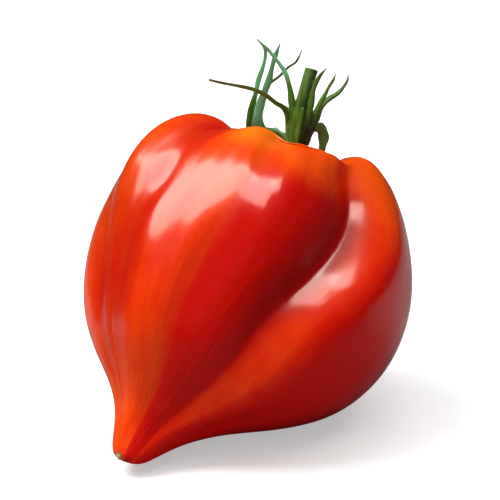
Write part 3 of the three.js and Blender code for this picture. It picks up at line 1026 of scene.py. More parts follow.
@dataclass(frozen=True)
class SkinPaint:
    """Where the skin is more orange or darker, as marks that its finish reads: partly the skin's own colour,
    partly painted light and painted shade.

    Attributes:
        even: Orange of the plain skin.
        high: Orange for each millimetre that the skin stands off the bare form.
        ribs: Orange of the ribbed lobes on the left, partly their own colour and partly painted light on the
            side that faces the light.
        ridge: Painted light: orange of the lit ridge beside the crease.
        far: Orange of the far lobe near the stalk.
        top: Orange at the top of the front lobe.
        shade: Painted shade: red of the front lobe's side that falls to the crease, away from the light.
        low: Painted shade: red of the right lobe's lower part, which turns away from the light.
        limits: Least and most orange.
        shoulder: Pale orange all round the stalk.
        crease: Painted shade: dark red in the crease.
        furrows: Painted shade: dark red in the other furrows.
        line: Painted shade: dark red along the very bottom of the crease.
        dusk: Painted shade: more dark red on the front lobe's side that falls to the crease.
    """

    even: float = 0.28
    high: float = 0.05
    ribs: float = 0.42
    ridge: float = 0.2
    far: float = 0.5
    top: float = 0.5
    shade: float = 0.6
    low: float = 0.5
    limits: tuple[float, float] = (-0.4, 1.2)
    shoulder: float = 0.5
    crease: float = 0.8
    furrows: float = 0.5
    line: float = 0.3
    dusk: float = 0.22

    def marks(self, fruit: Fruit, t: Array, degrees: Array, start: Array, sunk: Array) -> dict[str, Array]:
        """Works out the marks.

        Each patch is a band of angles times a stretch along the fruit. Angles are degrees past the
        crease, which is the deepest furrow, or past the front furrow, which is the next one to its
        left. Depths in the furrows are millimetres. Flow runs round and along the lobes, for the
        streaks.

        Args:
            fruit: The fruit.
            t: Place from the stalk 0 to the tip 1.
            degrees: Angle round the axis.
            start: Each column's angle near the stalk.
            sunk: Depth of all furrows in millimetres.

        Returns:
            The marks by name.
        """
        crease, front = fruit.furrows[:2]
        past_crease = crease.away(t, degrees, fruit.bend)
        past_front = front.away(t, degrees, fruit.bend)
        core = crease.depth * crease.share(t, degrees, fruit.bend)
        high = fruit.relief(t, np.radians(degrees))[0]
        # Painted shade: the front lobe's side that falls to the crease is redder
        shade = ease(-4.0, 10.0, past_front) * (1.0 - ease(-1.0, 3.0, past_crease)) * ease(0.36, 0.47, t)
        # Orange of the left lobes: partly their own colour, partly painted light on the side that faces the
        # light
        ribs = between((-150.0, -90.0, -4.0, 8.0), past_front) * ease(0.12, 0.4, t)
        ribs = ribs * (0.75 + 0.8 * bell(past_front + 78.0, 24.0)) * (1.0 - 0.25 * ease(0.46, 0.6, t))
        # Painted light: orange on the lit ridge beside the crease
        ridge = bell(past_crease - 8.0, 8.0) * (1.0 - ease(0.70, 0.9, t))
        far = bell(past_crease - 20.0, 30.0) * (1.0 - ease(0.28, 0.44, t))
        # Painted shade: the right lobe's lower part is redder
        low = between((12.0, 24.0, 110.0, 150.0), past_crease) * ease(0.38, 0.50, t)
        top = ease(-6.0, 2.0, past_front) * (1.0 - ease(-14.0, -6.0, past_crease))
        top = top * (1.0 - ease(0.34, 0.46, t))
        # The orange share: the skin's own orange, with painted light added on lit sides and painted shade
        # taken off on sides turned from the light
        blush_and_painted_light = (self.even + self.high * high + self.ribs * ribs + self.ridge * ridge + self.far * far
                 + self.top * top - self.shade * shade - self.low * low)
        crown = (self.shoulder * (1.0 - ease(0.14, 0.38, t))
                 + bell(past_front + 8.0, 18.0) * (1.0 - ease(0.30, 0.44, t)))
        line = bell(past_crease, 5.0) * crease.length(t) * ease(0.3, 0.45, t)
        # Painted shade: dark red in the crease, in the other furrows, along the crease's bottom and on the
        # front lobe's falling side
        furrow = (self.crease * ease(3.4, 9.4, core) * ease(0.26, 0.42, t)
                  + self.furrows * ease(1.6, 4.4, sunk - core) * ease(0.14, 0.26, t)
                  + self.line * line + self.dusk * shade)
        along = np.radians(start)
        return {"blush_and_painted_light": np.clip(blush_and_painted_light, *self.limits), "furrow": np.clip(furrow, 0.0, 1.0), "crown": crown,
                "stalk_ring": 1.0 - ease(0.03, 0.085, t),
                "flow": np.stack([np.cos(along), np.sin(along), 2.4 * t], -1)}


@dataclass(frozen=True)
class TipScar:
    """The small corky scar where the flower dropped off, on the left of the pinched tip.

    Attributes:
        place: Place along the fruit.
        angle: Angle round its axis, in degrees.
        radius: Half width in millimetres.
        height: How far it stands off the skin.
        buried: How deep its underside lies in the skin.
        sides: Points round it.
        rings: Rows from its middle outwards.
    """

    place: float = 0.935
    angle: float = -8.0
    radius: float = 1.25
    height: float = 0.35
    buried: float = 0.7
    sides: int = 48
    rings: int = 14

    def build(self, fruit: Fruit, material: bpy.types.Material) -> bpy.types.Object:
        """Builds a low crumpled button: height falls from the middle, its rim is lobed.

        Args:
            fruit: The fruit that it sits on.
            material: Its finish.

        Returns:
            The scar.
        """
        t, angle = np.array([[self.place]]), np.array([[self.angle]])
        middle, _ = fruit.surface(t, angle, angle)
        normal = fruit.bare_normal(t, np.radians(angle))[0, 0]
        middle = middle[0, 0]
        side = unit(np.cross(normal, fruit.axes()[2]))
        other = np.cross(normal, side)
        around = (2.0 * math.pi * np.arange(self.sides) / self.sides)[None]
        # From the middle of its top out to the rim, then two rows of its underside
        share = np.concatenate([np.linspace(0.0, 1.0, self.rings), [0.9, 0.0]])[:, None]
        lobed = 1.0 + waves(around, ((0.13, 5, 0.6, 0), (0.07, 11, 0, 0)))
        crumple = share * (0.12 * np.cos(7 * around + 5 * share) + 0.08 * np.sin(13 * around - 9 * share))
        rise = self.height * (1.0 - share**2.2) + crumple * self.height - 0.25 * share
        rise[-2:] = -self.buried
        reach = self.radius * share * lobed
        points = placed(middle, (side, other, normal), reach * np.cos(around), reach * np.sin(around), rise)
        rim = ease(0.45, 1.0, share) * np.ones_like(around)
        made = Grid(points, {"rim": rim}).object("tip_scar", material)
        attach(made, "root")
        return made


# The greens


STALK_LINE = Line(((11.2, 5.3, 70.6), (13.0, 6.0, 76.5), (14.0, 7.0, 82.0), (15.4, 9.0, 89.6),
                   (17.8, 11.0, 98.0)))
STALK_FACING = Fruit().axes()[0]


def green_marks(shape: tuple[int, ...], around: Array, onward: Array, down: Array | float = 0.0,
                dry: Array | float = 0.0, rib: Array | float = 0.0,
                deep: Array | float = 0.0) -> dict[str, Array]:
    """The marks that the green finish reads.

    Args:
        shape: Rows and columns.
        around: Angle round the piece in radians.
        onward: Place along it, in steps that suit the fibres.
        down: Share of the pale downy face.
        dry: Dryness.
        rib: Where the midrib is.
        deep: Share of painted shade, the darkest green, between the blades and on the sides away from the
            light.

    Returns:
        The marks by name.
    """
    spread = np.ones(shape)
    flow = np.stack([np.cos(around) * spread, np.sin(around) * spread, onward * spread], -1)
    plain = {"down": down, "dry": dry, "rib": rib, "deep": deep}
    return {"flow": flow} | {name: value * spread for name, value in plain.items()}


@dataclass(frozen=True)
class Look:
    """How the colour of a sepal changes from its root to its tip.

    Attributes:
        low: Pale downy colour of its lower half.
        high: The same of its upper half.
        dry_root: Dryness at the root.
        dry_tip: Dryness at the tip.
        dark: Painted shade at the root, where the blades crowd together.
    """

    low: float
    high: float
    dry_root: float
    dry_tip: float
    dark: float

    def down(self, s: Array) -> Array:
        """Downy colour along the blade, none at its very root."""
        return (self.low + (self.high - self.low) * ease(0.45, 0.66, s)) * ease(0.28, 0.38, s)

    def dry(self, s: Array) -> Array:
        """Dryness along the blade."""
        return self.dry_root + (self.dry_tip - self.dry_root) * ease(0.45, 1.0, s)

    def deep(self, s: Array) -> Array:
        """Painted shade along the blade, strongest at the root."""
        return self.dark * (1.0 - ease(0.2, 0.62, s))


class Tone(Enum):
    """The looks that a sepal can have."""

    FRESH = Look(0.45, 0.4, -1.0, -0.9, 0.0)
    BLUISH = Look(1.15, 1.0, -0.2, 0.45, 0.35)
    HALF_BLUISH = Look(-0.3, 1.0, 0.0, 0.5, 0.35)
    OLIVE = Look(0.0, 0.0, 0.05, 0.85, 0.25)
    # Blades in the shade on the right, with the most painted shade at the root
    SHADED = Look(-0.2, 0.0, 0.0, 0.65, 0.85)


@dataclass(frozen=True)
class Sepal:
    """A long narrow blade that leaves the cup and curls.

    Attributes:
        width: Width past the foot.
        twist: Degrees by which it turns near its root.
        tone: Its look.
        line: Middle line from its root to its tip.
        curl: How much its edges roll in, as a share of the half width.
        foot_width: Width at the root.
        foot_share: Share of the length over which the foot narrows.
        thickness: Thickness at the midrib.
        belly: Extra width two fifths of the way along.
        sides: Points round the section.
        stations: Rows along it.
        hairs: How many hairs it has.
    """

    width: float
    twist: float
    tone: Tone
    line: tuple[Vector3, ...]
    curl: float = 0.35
    foot_width: float = 3.4
    foot_share: float = 0.24
    thickness: float = 0.62
    belly: float = 0.0
    sides: int = 24
    stations: int = 90
    hairs: int = 220

    def surface(self, seed: int) -> tuple[Array, Array, Array]:
        """The blade: a thin section with rolled edges and a midrib, carried along the line.

        Half width is the foot's Gaussian plus a share that tapers as 1 - 0.65 s^2 and runs out to a
        fine tip. Across the blade the thickness falls towards the edges as 1 - 0.45 x^2, with a
        midrib in its middle, the edges roll by the curl times x^2, and both wave along the length.

        Args:
            seed: Seed of the waves.

        Returns:
            Points, the section's angle and the place along.
        """
        s = np.linspace(0.0, 1.0, self.stations)
        root = np.array(self.line[0])
        outward = (root - np.array(STALK_LINE.knots[1])) * (1.0, 1.0, 0.0)
        middle, face, wide = Line(self.line).frames(s, outward, self.twist)
        foot = bell(s, self.foot_share)
        half = 0.5 * (self.foot_width * foot + self.width * (1 - foot) * (1 - 0.65 * s**2))
        half = half + 0.5 * self.belly * bell(s - 0.4, 0.12)
        half = np.maximum(half, 0.35) * (1.0 - 0.6 * ease(0.9, 1.0, s))
        rng = np.random.default_rng(seed)
        half = half * (1.0 + 0.09 * np.sin(s * rng.uniform(17, 27) + rng.uniform(0, 6)) * ease(0.2, 0.5, s))
        thick = 0.5 * self.thickness * (1.0 - 0.45 * ease(0.5, 1.0, s))
        angle = section_angles(self.sides)
        x = np.cos(angle)[None] * np.ones((self.stations, 1))
        upper = np.sin(angle)[None]
        midrib = 0.35 * bell(x, 0.22) * np.where(upper > 0, 1.0, 0.4)
        rolled = self.curl * half[:, None] * (x**2 - 0.35) * ease(0.12, 0.4, s)[:, None]
        ripple = 0.10 * half[:, None] * x * np.sin(s * 31.0 + rng.uniform(0, 6))[:, None]
        lift = thick[:, None] * upper * (1.0 - 0.45 * x**2 + midrib) - rolled + ripple
        points = with_ends(carried(middle, wide, face, half[:, None] * x, lift)) + PLACE
        s = np.concatenate([s[:1], s, s[-1:]])
        return points, np.broadcast_to(angle[None], points.shape[:2]), s[:, None]

    def build(self, number: int, material: bpy.types.Material) -> tuple[bpy.types.Object, Array]:
        """Builds the blade.

        Args:
            number: Number for its name and seed.
            material: Its finish.

        Returns:
            The blade and its points.
        """
        points, angle, s = self.surface(number)
        look = self.tone.value
        inner = np.where(np.sin(angle) < 0.0, 1.0, 0.7)
        marks = green_marks(points.shape[:2], angle, 3.0 * s, down=look.down(s) * inner, dry=look.dry(s),
                            rib=bell(np.cos(angle), 0.2), deep=look.deep(s))
        blade = Grid(points, marks).object(f"sepal_{number:02d}", material)
        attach(blade, "root")
        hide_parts("calyx")
        return blade, points


SEPALS = (
    # Reaches far out to the left in front
    Sepal(width=1.7, twist=25, tone=Tone.OLIVE, curl=0.6, thickness=1.0,
          line=((10.8, 5.6, 76), (11.2, 6, 83.9), (10, 5, 88), (7.5, 3, 90.1), (4.7, 1, 92.5),
                (1.4, -1, 94.3), (-2.7, -3, 95.5), (-7, -4.5, 96.5), (-10.5, -6, 97.5))),
    # Broad and pale: loops out to the left and rises to a tall tip
    Sepal(width=3.8, twist=120, tone=Tone.BLUISH, foot_width=2.6, belly=0.9,
          line=((10.8, 6.8, 76), (9.3, 8.6, 79.4), (5.7, 10, 79.3), (3.4, 10.5, 81.0), (3.1, 10.3, 84.6),
                (3.7, 10, 87.8), (4.6, 9.5, 91), (5.9, 9, 94.7), (6.8, 8, 98.8), (7.8, 7, 102.5),
                (8.8, 6.3, 105.6))),
    # Beside it, further to the left and as tall
    Sepal(width=2.6, twist=130, tone=Tone.HALF_BLUISH, foot_width=2.6, belly=0.9,
          line=((11, 7.6, 75.5), (6.8, 12, 79.4), (2.6, 13.4, 78.8), (1.0, 13.6, 81.0),
                (1.0, 13.3, 84.7), (1.6, 12.8, 88.2), (2.4, 12.3, 91.4), (3.1, 11.5, 94.9),
                (4.2, 10.8, 98.4), (4.9, 10, 101.6), (4.7, 9, 104.2), (2.5, 8, 106.8))),
    # Leans to the left in front of both
    Sepal(width=1.7, twist=45, tone=Tone.HALF_BLUISH, belly=0.3,
          line=((11.5, 4.4, 76), (12.5, 4.6, 85.3), (12.1, 4.8, 90.3), (11.4, 5, 94.4), (10.2, 5, 98),
                (8.4, 4.8, 100.7), (6.3, 4.3, 103.4), (4.5, 3.6, 105.4), (2.8, 3, 106.8))),
    # Narrow: passes behind them and leans to the right
    Sepal(width=1.3, twist=-38, tone=Tone.OLIVE, foot_width=2.4, thickness=0.8,
          line=((11.6, 7.8, 76), (7.4, 11.8, 80.0), (3.8, 12.4, 81.2), (3.2, 12.2, 85.5),
                (3.9, 12.0, 90), (5.6, 11.2, 93.6), (8.6, 10.4, 96), (11.2, 9.8, 98.7), (13.4, 9, 100.4),
                (15, 8, 103.8))),
    # Rises at the front on the right
    Sepal(width=2.0, twist=-10, tone=Tone.SHADED,
          line=((13.5, 3.8, 76), (16.2, 4.2, 83.4), (17.5, 3.6, 89.1), (18.1, 2.6, 93.4),
                (19.1, 1.6, 96.3), (20.2, 0.6, 98.2), (21.5, -0.6, 99.9))),
    # Behind it, further to the right
    Sepal(width=1.7, twist=-60, tone=Tone.SHADED, foot_width=4.6, foot_share=0.34, thickness=0.85,
          line=((15.1, 5, 76), (18, 5.8, 83.9), (19.8, 6, 88.4), (21.4, 5.6, 91.6), (22.6, 5.2, 94.1),
                (23.7, 4.8, 96), (24.2, 4.4, 97.6))),
    # Behind that, furthest to the right
    Sepal(width=1.9, twist=-85, tone=Tone.SHADED, foot_width=5.0, foot_share=0.36, thickness=0.9,
          line=((15.4, 6.3, 76), (18.5, 7.6, 83.9), (20.5, 8.8, 87.7), (22.6, 9.6, 89.7), (25, 10, 91.2),
                (26.8, 10, 93.1), (27.9, 9.6, 95.2), (28, 9, 96.7))),
    # Arches on the right, with its tip hanging down
    Sepal(width=4.6, twist=-35, tone=Tone.FRESH, foot_width=2.2,
          line=((15, 7.4, 76), (17.4, 9.6, 79.8), (19.2, 11.4, 81.2), (20.7, 12.4, 80.6),
                (21.4, 12.7, 79.0), (21.4, 12.6, 76.8), (20.8, 12.2, 73.4))),
    # Lies on the back of the hollow, to the right
    Sepal(width=2.6, twist=-25, tone=Tone.FRESH,
          line=((13.6, 8.4, 76), (14.5, 13, 79.5), (15.5, 18, 80.5), (17, 23, 77.5), (17.6, 26, 78.6))),
    # Lies on the back of the hollow, to the left
    Sepal(width=2.6, twist=20, tone=Tone.FRESH,
          line=((12.2, 8.2, 76), (9.5, 13.5, 79), (6.5, 18, 80), (4, 21.5, 78), (3.2, 23.5, 78.2))),
    # Short, pressed against the stalk
    Sepal(width=3.0, twist=45, tone=Tone.SHADED,
          line=((11.8, 5, 76), (13.4, 4.4, 84.5), (13.8, 4.8, 88.3), (14.5, 5.6, 91.3),
                (15.2, 6.4, 93.7))),
)


@dataclass(frozen=True)
class Cup:
    """The green goblet that the sepals grow from: a round base in the hollow and a short cup.

    Attributes:
        waist: Radius at the waist.
        foot_flare: Extra radius at the foot.
        rim_flare: Extra radius at the rim.
        wall: Thickness of the wall round the stalk.
        reach: Share of the stalk that it covers.
        base_radius: Radius of the round base.
        base_height: Half height of the base.
        base_sunk: How far its middle lies below the start of the stalk's line.
        ribs: How many ribs run up it, and folds over the base.
        sides: Columns round it.
        rows: Rows up its outside.
        inner_rows: Rows down its inside.
        hairs: How many hairs it has.
    """

    waist: float = 2.75
    foot_flare: float = 1.05
    rim_flare: float = 1.7
    wall: float = 0.64
    reach: float = 0.60
    base_radius: float = 5.5
    base_height: float = 2.4
    base_sunk: float = 0.4
    ribs: int = 10
    sides: int = 120
    rows: int = 40
    inner_rows: int = 14
    hairs: int = 500

    def radius(self, s: Array) -> Array:
        """Radius up the cup: waist, plus the foot's flare (1 - s/0.46)^2, plus the rim's flare."""
        return (self.waist + self.foot_flare * np.maximum(0.0, 1.0 - s / 0.46) ** 2
                + self.rim_flare * np.maximum(0.0, (s - 0.46) / 0.54))

    def build_cup(self, material: bpy.types.Material) -> tuple[bpy.types.Object, Array]:
        """Builds the goblet: up the outside with ribs, over the scalloped rim and down the inside.

        Args:
            material: Its finish.

        Returns:
            The goblet and its outer points.
        """
        outside = np.linspace(0.0, 1.0, self.rows)
        inside = np.linspace(0.97, 0.62, self.inner_rows)
        s = np.concatenate([outside, inside])
        middle, face, wide = STALK_LINE.frames(outside * self.reach, STALK_FACING)
        back = np.round(inside * (self.rows - 1)).astype(int)
        middle, face, wide = (np.concatenate([part, part[back]]) for part in (middle, face, wide))
        angle = section_angles(self.sides)
        outer = np.concatenate([np.ones_like(outside), np.zeros_like(inside)])[:, None]
        ridge = np.cos(self.ribs * angle + 0.5)[None]
        ribbed = self.radius(s)[:, None] - self.wall * (1.0 - outer)
        ribbed = ribbed + outer * (0.16 + 0.12 * s[:, None]) * ridge
        points = carried(middle, wide, face, ribbed * np.cos(angle), ribbed * np.sin(angle))
        scallop = 0.55 * (1 - ridge) * ease(0.7, 1.0, s)[:, None]
        points = points - np.cross(face, wide)[:, None] * scallop[..., None]
        points = with_ends(points) + PLACE
        s = np.concatenate([s[:1], s, s[-1:]])[:, None]
        around = np.broadcast_to(angle[None], points.shape[:2])
        # Painted shade: the cup grows darker towards its right side, away from the light
        side = (points[..., 0] - points[..., 0].mean(1, keepdims=True)) / self.waist
        marks = green_marks(points.shape[:2], around, 2.0 * s, down=0.15 * s,
                            rib=0.25 * (1 + np.cos(self.ribs * around + 0.5)),
                            deep=1.1 * ease(-0.25, 0.75, side) - 0.1)
        made = Grid(points, marks).object("calyx_cup", material)
        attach(made, "root")
        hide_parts("calyx")
        return made, points[1:self.rows + 1]

    def build_base(self, fruit: Fruit, material: bpy.types.Material) -> bpy.types.Object:
        """Builds the round base: a low dome turned to the fruit's axis, with ten soft folds.

        Args:
            fruit: The fruit, whose axis it faces.
            material: Its finish.

        Returns:
            The base.
        """
        rise = np.linspace(-0.5 * math.pi, 0.5 * math.pi, 34)[:, None]
        angle = (2.0 * math.pi * np.arange(self.sides) / self.sides)[None]
        folds = 1.0 + 0.06 * np.cos(self.ribs * angle) * np.cos(rise)
        reach = self.base_radius * np.cos(rise) * folds
        middle = np.array(STALK_LINE.knots[0]) - (0.0, 0.0, self.base_sunk) + PLACE
        points = placed(middle, fruit.axes(), reach * np.cos(angle), reach * np.sin(angle),
                        self.base_height * np.sin(rise))
        marks = green_marks(points.shape[:2], angle, rise, dry=0.35 * (1 - ease(-0.4, 0.8, rise)))
        made = Grid(points, marks).object("calyx_base", material)
        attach(made, "root")
        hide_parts("calyx")
        return made


@dataclass(frozen=True)
class Stalk:
    """The short cut stalk, ribbed and a little knobbly, with a hollowed pale end.

    Attributes:
        radius: Half width.
        foot_flare: Extra at the foot.
        end_flare: Extra at the cut end.
        rib: Height of the ribs, as a share of the radius.
        flat: Its width the second way, as a share of the first.
        end_rows: Rows over the lip and into the cut end: share of the radius and height past the rim.
        pith: Radius of the pith, as a share of the stalk's.
        pith_depth: How deep its underside lies.
        sides: Columns round it.
        stations: Rows along it.
        hairs: How many hairs it has.
    """

    radius: float = 1.8
    foot_flare: float = 0.5
    end_flare: float = 0.15
    rib: float = 0.06
    flat: float = 0.92
    end_rows: tuple[tuple[float, float], ...] = ((0.93, 0.03), (0.80, -0.12), (0.0, -0.12))
    pith: float = 0.84
    pith_depth: float = 0.3
    sides: int = 72
    stations: int = 120
    hairs: int = 700

    def half(self, s: Array) -> Array:
        """Half width along it: the radius, the foot's flare (1-s)^6 and the end's flare s^8."""
        return self.radius + self.foot_flare * (1 - s) ** 6 + self.end_flare * s**8

    def section(self, s: Array, angle: Array) -> Array:
        """Half widths all round it: five ribs and thirteen fine ones, times low knobs.

        Args:
            s: Place along the stalk.
            angle: Angle round it in radians.

        Returns:
            Half widths in millimetres.
        """
        ribs = 1.0 + self.rib * np.cos(5 * angle) + 0.018 * np.cos(13 * angle + 4 * s)
        knobs = 1.0 + 0.02 * np.sin(23 * s + 2 * angle) + 0.015 * np.sin(41 * s - angle)
        return self.half(s) * ribs * knobs

    def build(self, side: bpy.types.Material,
              cut: bpy.types.Material) -> tuple[list[bpy.types.Object], Array]:
        """Builds the stalk and the pith that fills its cut end.

        Args:
            side: Finish of its side.
            cut: Finish of the cut end.

        Returns:
            Both pieces, and the side's points.
        """
        s = np.linspace(0.0, 1.0, self.stations)
        middle, face, wide = STALK_LINE.frames(s, STALK_FACING)
        angle = section_angles(self.sides)[None]
        half = self.section(s[:, None], angle)
        points = carried(middle, wide, face, half * np.cos(angle), self.flat * half * np.sin(angle))
        centre, last, ahead = middle[-1], points[-1], np.cross(face[-1], wide[-1])
        end = np.stack([centre + (last - centre) * share + ahead * height for share, height in self.end_rows])
        points = np.concatenate([with_ends(points)[:-1], end]) + PLACE
        s = np.concatenate([[0.0], s, np.ones(len(end))])[:, None]
        around = np.broadcast_to(angle, points.shape[:2])
        # Painted shade: the stalk grows darker towards its right side and over its lower half, inside the cup
        off = (points[..., 0] - points[..., 0].mean(1, keepdims=True)) / self.radius
        marks = green_marks(points.shape[:2], around, 2.8 * s, down=0.10, dry=0.45 * ease(0.93, 1.0, s),
                            rib=0.3 * (1 + np.cos(5 * around)),
                            deep=0.6 * ease(-0.3, 0.9, off) + 0.2 * (1.0 - ease(0.5, 0.9, s)))
        shaft = Grid(points, marks).object("stalk_shaft", side)
        pith = self.build_pith(centre, last, ahead, cut)
        for piece in (shaft, pith):
            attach(piece, "root")
            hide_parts("stalk")
        return [shaft, pith], points[1:-len(end)]

    def build_pith(self, centre: Array, rim: Array, ahead: Array,
                   cut: bpy.types.Material) -> bpy.types.Object:
        """Builds the pith: a low crumpled disc just inside the cut end.

        Args:
            centre: Middle of the cut end.
            rim: The stalk's last row of points.
            ahead: Direction that the end faces.
            cut: Its finish.

        Returns:
            The pith.
        """
        top = np.linspace(0.0, self.pith, 12)
        share = np.concatenate([top, [self.pith, 0.0]])[:, None]
        angle = (2.0 * math.pi * np.arange(len(rim)) / len(rim))[None]
        rough = share * (0.05 * np.cos(3 * angle + 9 * share) + 0.04 * np.cos(7 * angle))
        height = 0.02 - 0.16 * (1.0 - (share / self.pith) ** 2) + rough
        height[len(top):] = -self.pith_depth
        ring = rim[::-1][None]
        points = centre + (ring - centre) * share[..., None] + ahead * height[..., None] + PLACE
        rings = ease(0.55, 0.8, share) * np.ones_like(angle)
        return Grid(points[::-1, ::-1], {"rim": rings[::-1]}).object("stalk_pith", cut)


@dataclass(frozen=True)
class Down:
    """Fine short hairs on the greens, each a thin three-sided spike.

    Attributes:
        length: Mean length in millimetres.
        radius: Half width at the root.
        lean: How much they lean away from the normal, at random.
        buried: How deep their roots stand in the green, in millimetres.
        seed: Seed of their places.
    """

    length: float = 0.55
    radius: float = 0.035
    lean: float = 0.35
    buried: float = 0.06
    seed: int = 11

    def build(self, name: str, grids: list[tuple[Array, int]], slot: str, node: str,
              material: bpy.types.Material) -> bpy.types.Object:
        """Scatters hairs over grids: each stands along the grid's normal, leaning a little.

        Args:
            name: Name of the piece.
            grids: Points of each surface and the number of hairs on it.
            slot: Not used.
            node: The CAD node that the hairs stand for a part of.
            material: Their finish.

        Returns:
            All hairs as one mesh.
        """
        rng = np.random.default_rng(self.seed)
        roots, ways = [], []
        for points, count in grids:
            normals = grid_normals(points)
            row = rng.integers(2, points.shape[0] - 2, count)
            column = rng.integers(0, points.shape[1], count)
            after = (column + 1) % points.shape[1]
            share = rng.uniform(0, 1, (count, 1))
            roots.append(points[row, column] * share + points[row, after] * (1 - share))
            ways.append(unit(normals[row, column] + rng.normal(0, self.lean, (count, 3))))
        root, way = np.vstack(roots), np.vstack(ways)
        total = len(root)
        length = (self.length * rng.uniform(0.4, 1.5, total))[:, None]
        side = unit(np.cross(way, rng.normal(size=(total, 3))))
        other = np.cross(way, side)
        base = root - way * self.buried
        corners = [base + self.radius * (side * math.cos(turn) + other * math.sin(turn))
                   for turn in (0.0, 2.0 * math.pi / 3.0, 4.0 * math.pi / 3.0)]
        vertices = np.stack([*corners, root + way * length], 1).reshape(-1, 3) * MM
        faces = (np.arange(total)[:, None, None] * 4
                 + np.array([[0, 1, 3], [1, 2, 3], [2, 0, 3], [0, 2, 1]])[None]).reshape(-1, 3).tolist()
        made = new_object(name, vertices, faces, material)
        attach(made, "root")
        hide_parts(node)
        return made


@dataclass(frozen=True)
class DownFinish:
    """Pale plant hair.

    Attributes:
        light: Its pale green.
        dark: Green of the darker hairs.
    """

    light: Colour = (0.42, 0.55, 0.30)
    dark: Colour = (0.25, 0.36, 0.14)

    def material(self) -> bpy.types.Material:
        """Pale green that changes a little from place to place.

        Returns:
            The material.
        """
        material, graph, shader = new_material("plant_down", self.light)
        cloud = graph.noise(graph.places(), 300.0)
        graph.feed(shader.inputs["Base Color"], graph.mix(cloud, self.light, self.dark))
        shader.inputs["Roughness"].default_value = 0.6
        return material


# The studio


@dataclass(frozen=True)
class SoftLight:
    """A soft rectangular studio light that looks at the fruit.

    Attributes:
        name: Its name.
        azimuth: Degrees to the right of the camera's side.
        elevation: Degrees above the floor.
        distance: Metres from the fruit.
        width: Metres wide.
        height: Metres high.
        brightness: Brightness of its surface, where white paper in the light is about 1.
        colour: Its colour.
        gleams: Whether it is mirrored in gloss.
        lights: Whether it lights matt surfaces.
        aim: Height of the place that it looks at, in metres.
    """

    name: str
    azimuth: float
    elevation: float
    distance: float
    width: float
    height: float
    brightness: float
    colour: Colour = WHITE
    gleams: bool = True
    lights: bool = True
    aim: float = 0.045

    def build(self) -> bpy.types.Object:
        """Makes the light; its power is brightness times pi times its area.

        Returns:
            The light.
        """
        az, el = math.radians(self.azimuth), math.radians(self.elevation)
        way = np.array((math.sin(az) * math.cos(el), -math.cos(az) * math.cos(el), math.sin(el)))
        light = bpy.data.lights.new(self.name, "AREA")
        light.shape = "RECTANGLE"
        light.size, light.size_y = self.width, self.height
        light.energy = self.brightness * math.pi * self.width * self.height
        light.color = self.colour
        made = bpy.data.objects.new(self.name, light)
        made.location = way * self.distance + np.array((0.0, 0.0, self.aim))
        made.visible_glossy = self.gleams
        made.visible_diffuse = self.lights
        made.rotation_mode = "QUATERNION"
        made.rotation_quaternion = Vector(way).to_track_quat("Z", "Y")
        bpy.context.scene.collection.objects.link(made)
        return made


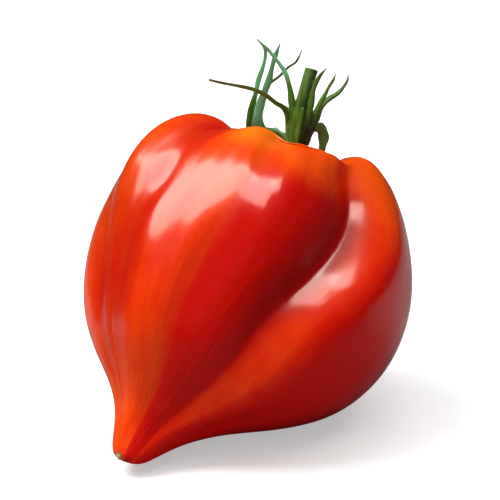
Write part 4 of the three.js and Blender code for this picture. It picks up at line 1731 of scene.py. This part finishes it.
@dataclass(frozen=True)
class Studio:
    """Floor, lights, surroundings and camera.

    Attributes:
        target: Point that the camera looks at, in millimetres.
        distance: Camera distance in millimetres.
        elevation: Camera height in degrees above the floor.
        lens: Focal length in millimetres on a 36 mm sensor.
        lights: The soft lights.
        surroundings: Brightness of the pale surroundings.
        mirrored: Share of that brightness that gloss mirrors.
        floor_half: Half side of the floor, in metres.
    """

    target: Vector3 = (0.037, -8.49, 50.8)
    distance: float = 383.0
    elevation: float = 15.0
    lens: float = 100.0
    lights: tuple[SoftLight, ...] = (
        SoftLight("gleam_light", -99.0, 74.0, 0.62, 0.40, 0.76, 7.2, (1.0, 0.97, 0.92), lights=False),
        SoftLight("strip_light", 110.0, 68.5, 0.62, 0.16, 0.12, 6.8, (1.0, 0.97, 0.92), lights=False),
        SoftLight("key_light", -86.0, 57.0, 0.62, 0.52, 0.44, 6.8, gleams=False),
        SoftLight("top_light", 60.0, 75.0, 0.9, 0.8, 0.8, 2.2, gleams=False),
        SoftLight("front_light", -15.0, 30.0, 1.2, 0.8, 0.8, 0.9, gleams=False),
    )
    surroundings: float = 0.2
    mirrored: float = 0.14
    floor_half: float = 8.0

    def build_camera(self) -> bpy.types.Object:
        """Makes the camera, looking along +Y and down by its elevation.

        Returns:
            The camera.
        """
        el = math.radians(self.elevation)
        way = np.array((0.0, math.cos(el), -math.sin(el)))
        data = bpy.data.cameras.new("camera")
        data.lens, data.sensor_width = self.lens, 36.0
        data.clip_start, data.clip_end = 0.01, 50.0
        camera = bpy.data.objects.new("camera", data)
        camera.location = (np.array(self.target) - way * self.distance) * MM
        camera.rotation_euler = (math.pi / 2 - el, 0.0, 0.0)
        bpy.context.scene.collection.objects.link(camera)
        bpy.context.scene.camera = camera
        return camera

    def build_floor(self) -> bpy.types.Object:
        """Makes the plain pale floor.

        Returns:
            The floor.
        """
        half = self.floor_half
        vertices = np.array([(-half, -half, 0.0), (half, -half, 0.0), (half, half, 0.0), (-half, half, 0.0)])
        floor = new_object("floor", vertices, [(0, 1, 2, 3)], FloorFinish().material())
        return floor

    def build_world(self) -> bpy.types.World:
        """Makes pale even surroundings, shown white behind the fruit.

        Returns:
            The world.
        """
        world = bpy.data.worlds.new("studio")
        world.use_nodes = True
        graph = Graph(world.node_tree)
        path = graph.node("LightPath").outputs
        glow = graph.step("MULTIPLY_ADD", path["Is Glossy Ray"], (self.mirrored - 1.0) * self.surroundings,
                          self.surroundings)
        dim = graph.node("Background", {"Color": WHITE, "Strength": glow})
        white = graph.node("Background", {"Color": WHITE, "Strength": 1.0})
        both = graph.node("MixShader", {0: path["Is Camera Ray"], 1: dim.outputs[0], 2: white.outputs[0]})
        graph.node("OutputWorld", {"Surface": both.outputs[0]})
        bpy.context.scene.world = world
        return world

    def build(self) -> None:
        """Makes everything round the fruit and sets how the picture is developed."""
        self.build_camera()
        self.build_floor()
        self.build_world()
        for light in self.lights:
            light.build()
        bpy.context.scene.view_settings.view_transform = "Standard"
        bpy.context.scene.view_settings.look = "None"


def report(piece: bpy.types.Object) -> None:
    """Logs a piece's name and number of faces."""
    log.info("%s: %d faces", piece.name, len(piece.data.polygons))


def main() -> None:
    """Builds the tomato and the studio, piece by piece."""
    logging.basicConfig(level=logging.INFO, format="%(message)s")
    Studio().build()
    groups = Groups()
    fruit = Fruit()
    report(fruit.build(SkinFinish().material(groups)))
    report(TipScar().build(fruit, CorkFinish("tip_cork").material(groups)))
    leaf = LeafFinish("sepal_leaf").material(groups)
    cup = Cup()
    goblet, cup_points = cup.build_cup(leaf)
    report(goblet)
    report(cup.build_base(fruit, leaf))
    surfaces = [(cup_points, cup.hairs)]
    for number, sepal in enumerate(SEPALS, 1):
        blade, points = sepal.build(number, leaf)
        report(blade)
        surfaces.append((points, sepal.hairs))
    side = LeafFinish("stalk_side", dark=(0.03, 0.085, 0.008), fresh=(0.12, 0.24, 0.03))
    pith = CorkFinish("stalk_pith", light=(0.42, 0.48, 0.20), dark=(0.10, 0.14, 0.03), scale=2600.0)
    stalk = Stalk()
    pieces, stalk_points = stalk.build(side.material(groups), pith.material(groups))
    for piece in pieces:
        report(piece)
    down = DownFinish().material()
    report(Down().build("calyx_down", surfaces, "sepal_green", "calyx", down))
    surfaces = [(stalk_points, stalk.hairs)]
    report(Down(seed=12).build("stalk_down", surfaces, "stalk_green", "stalk", down))


if __name__ == "__main__":
    main()
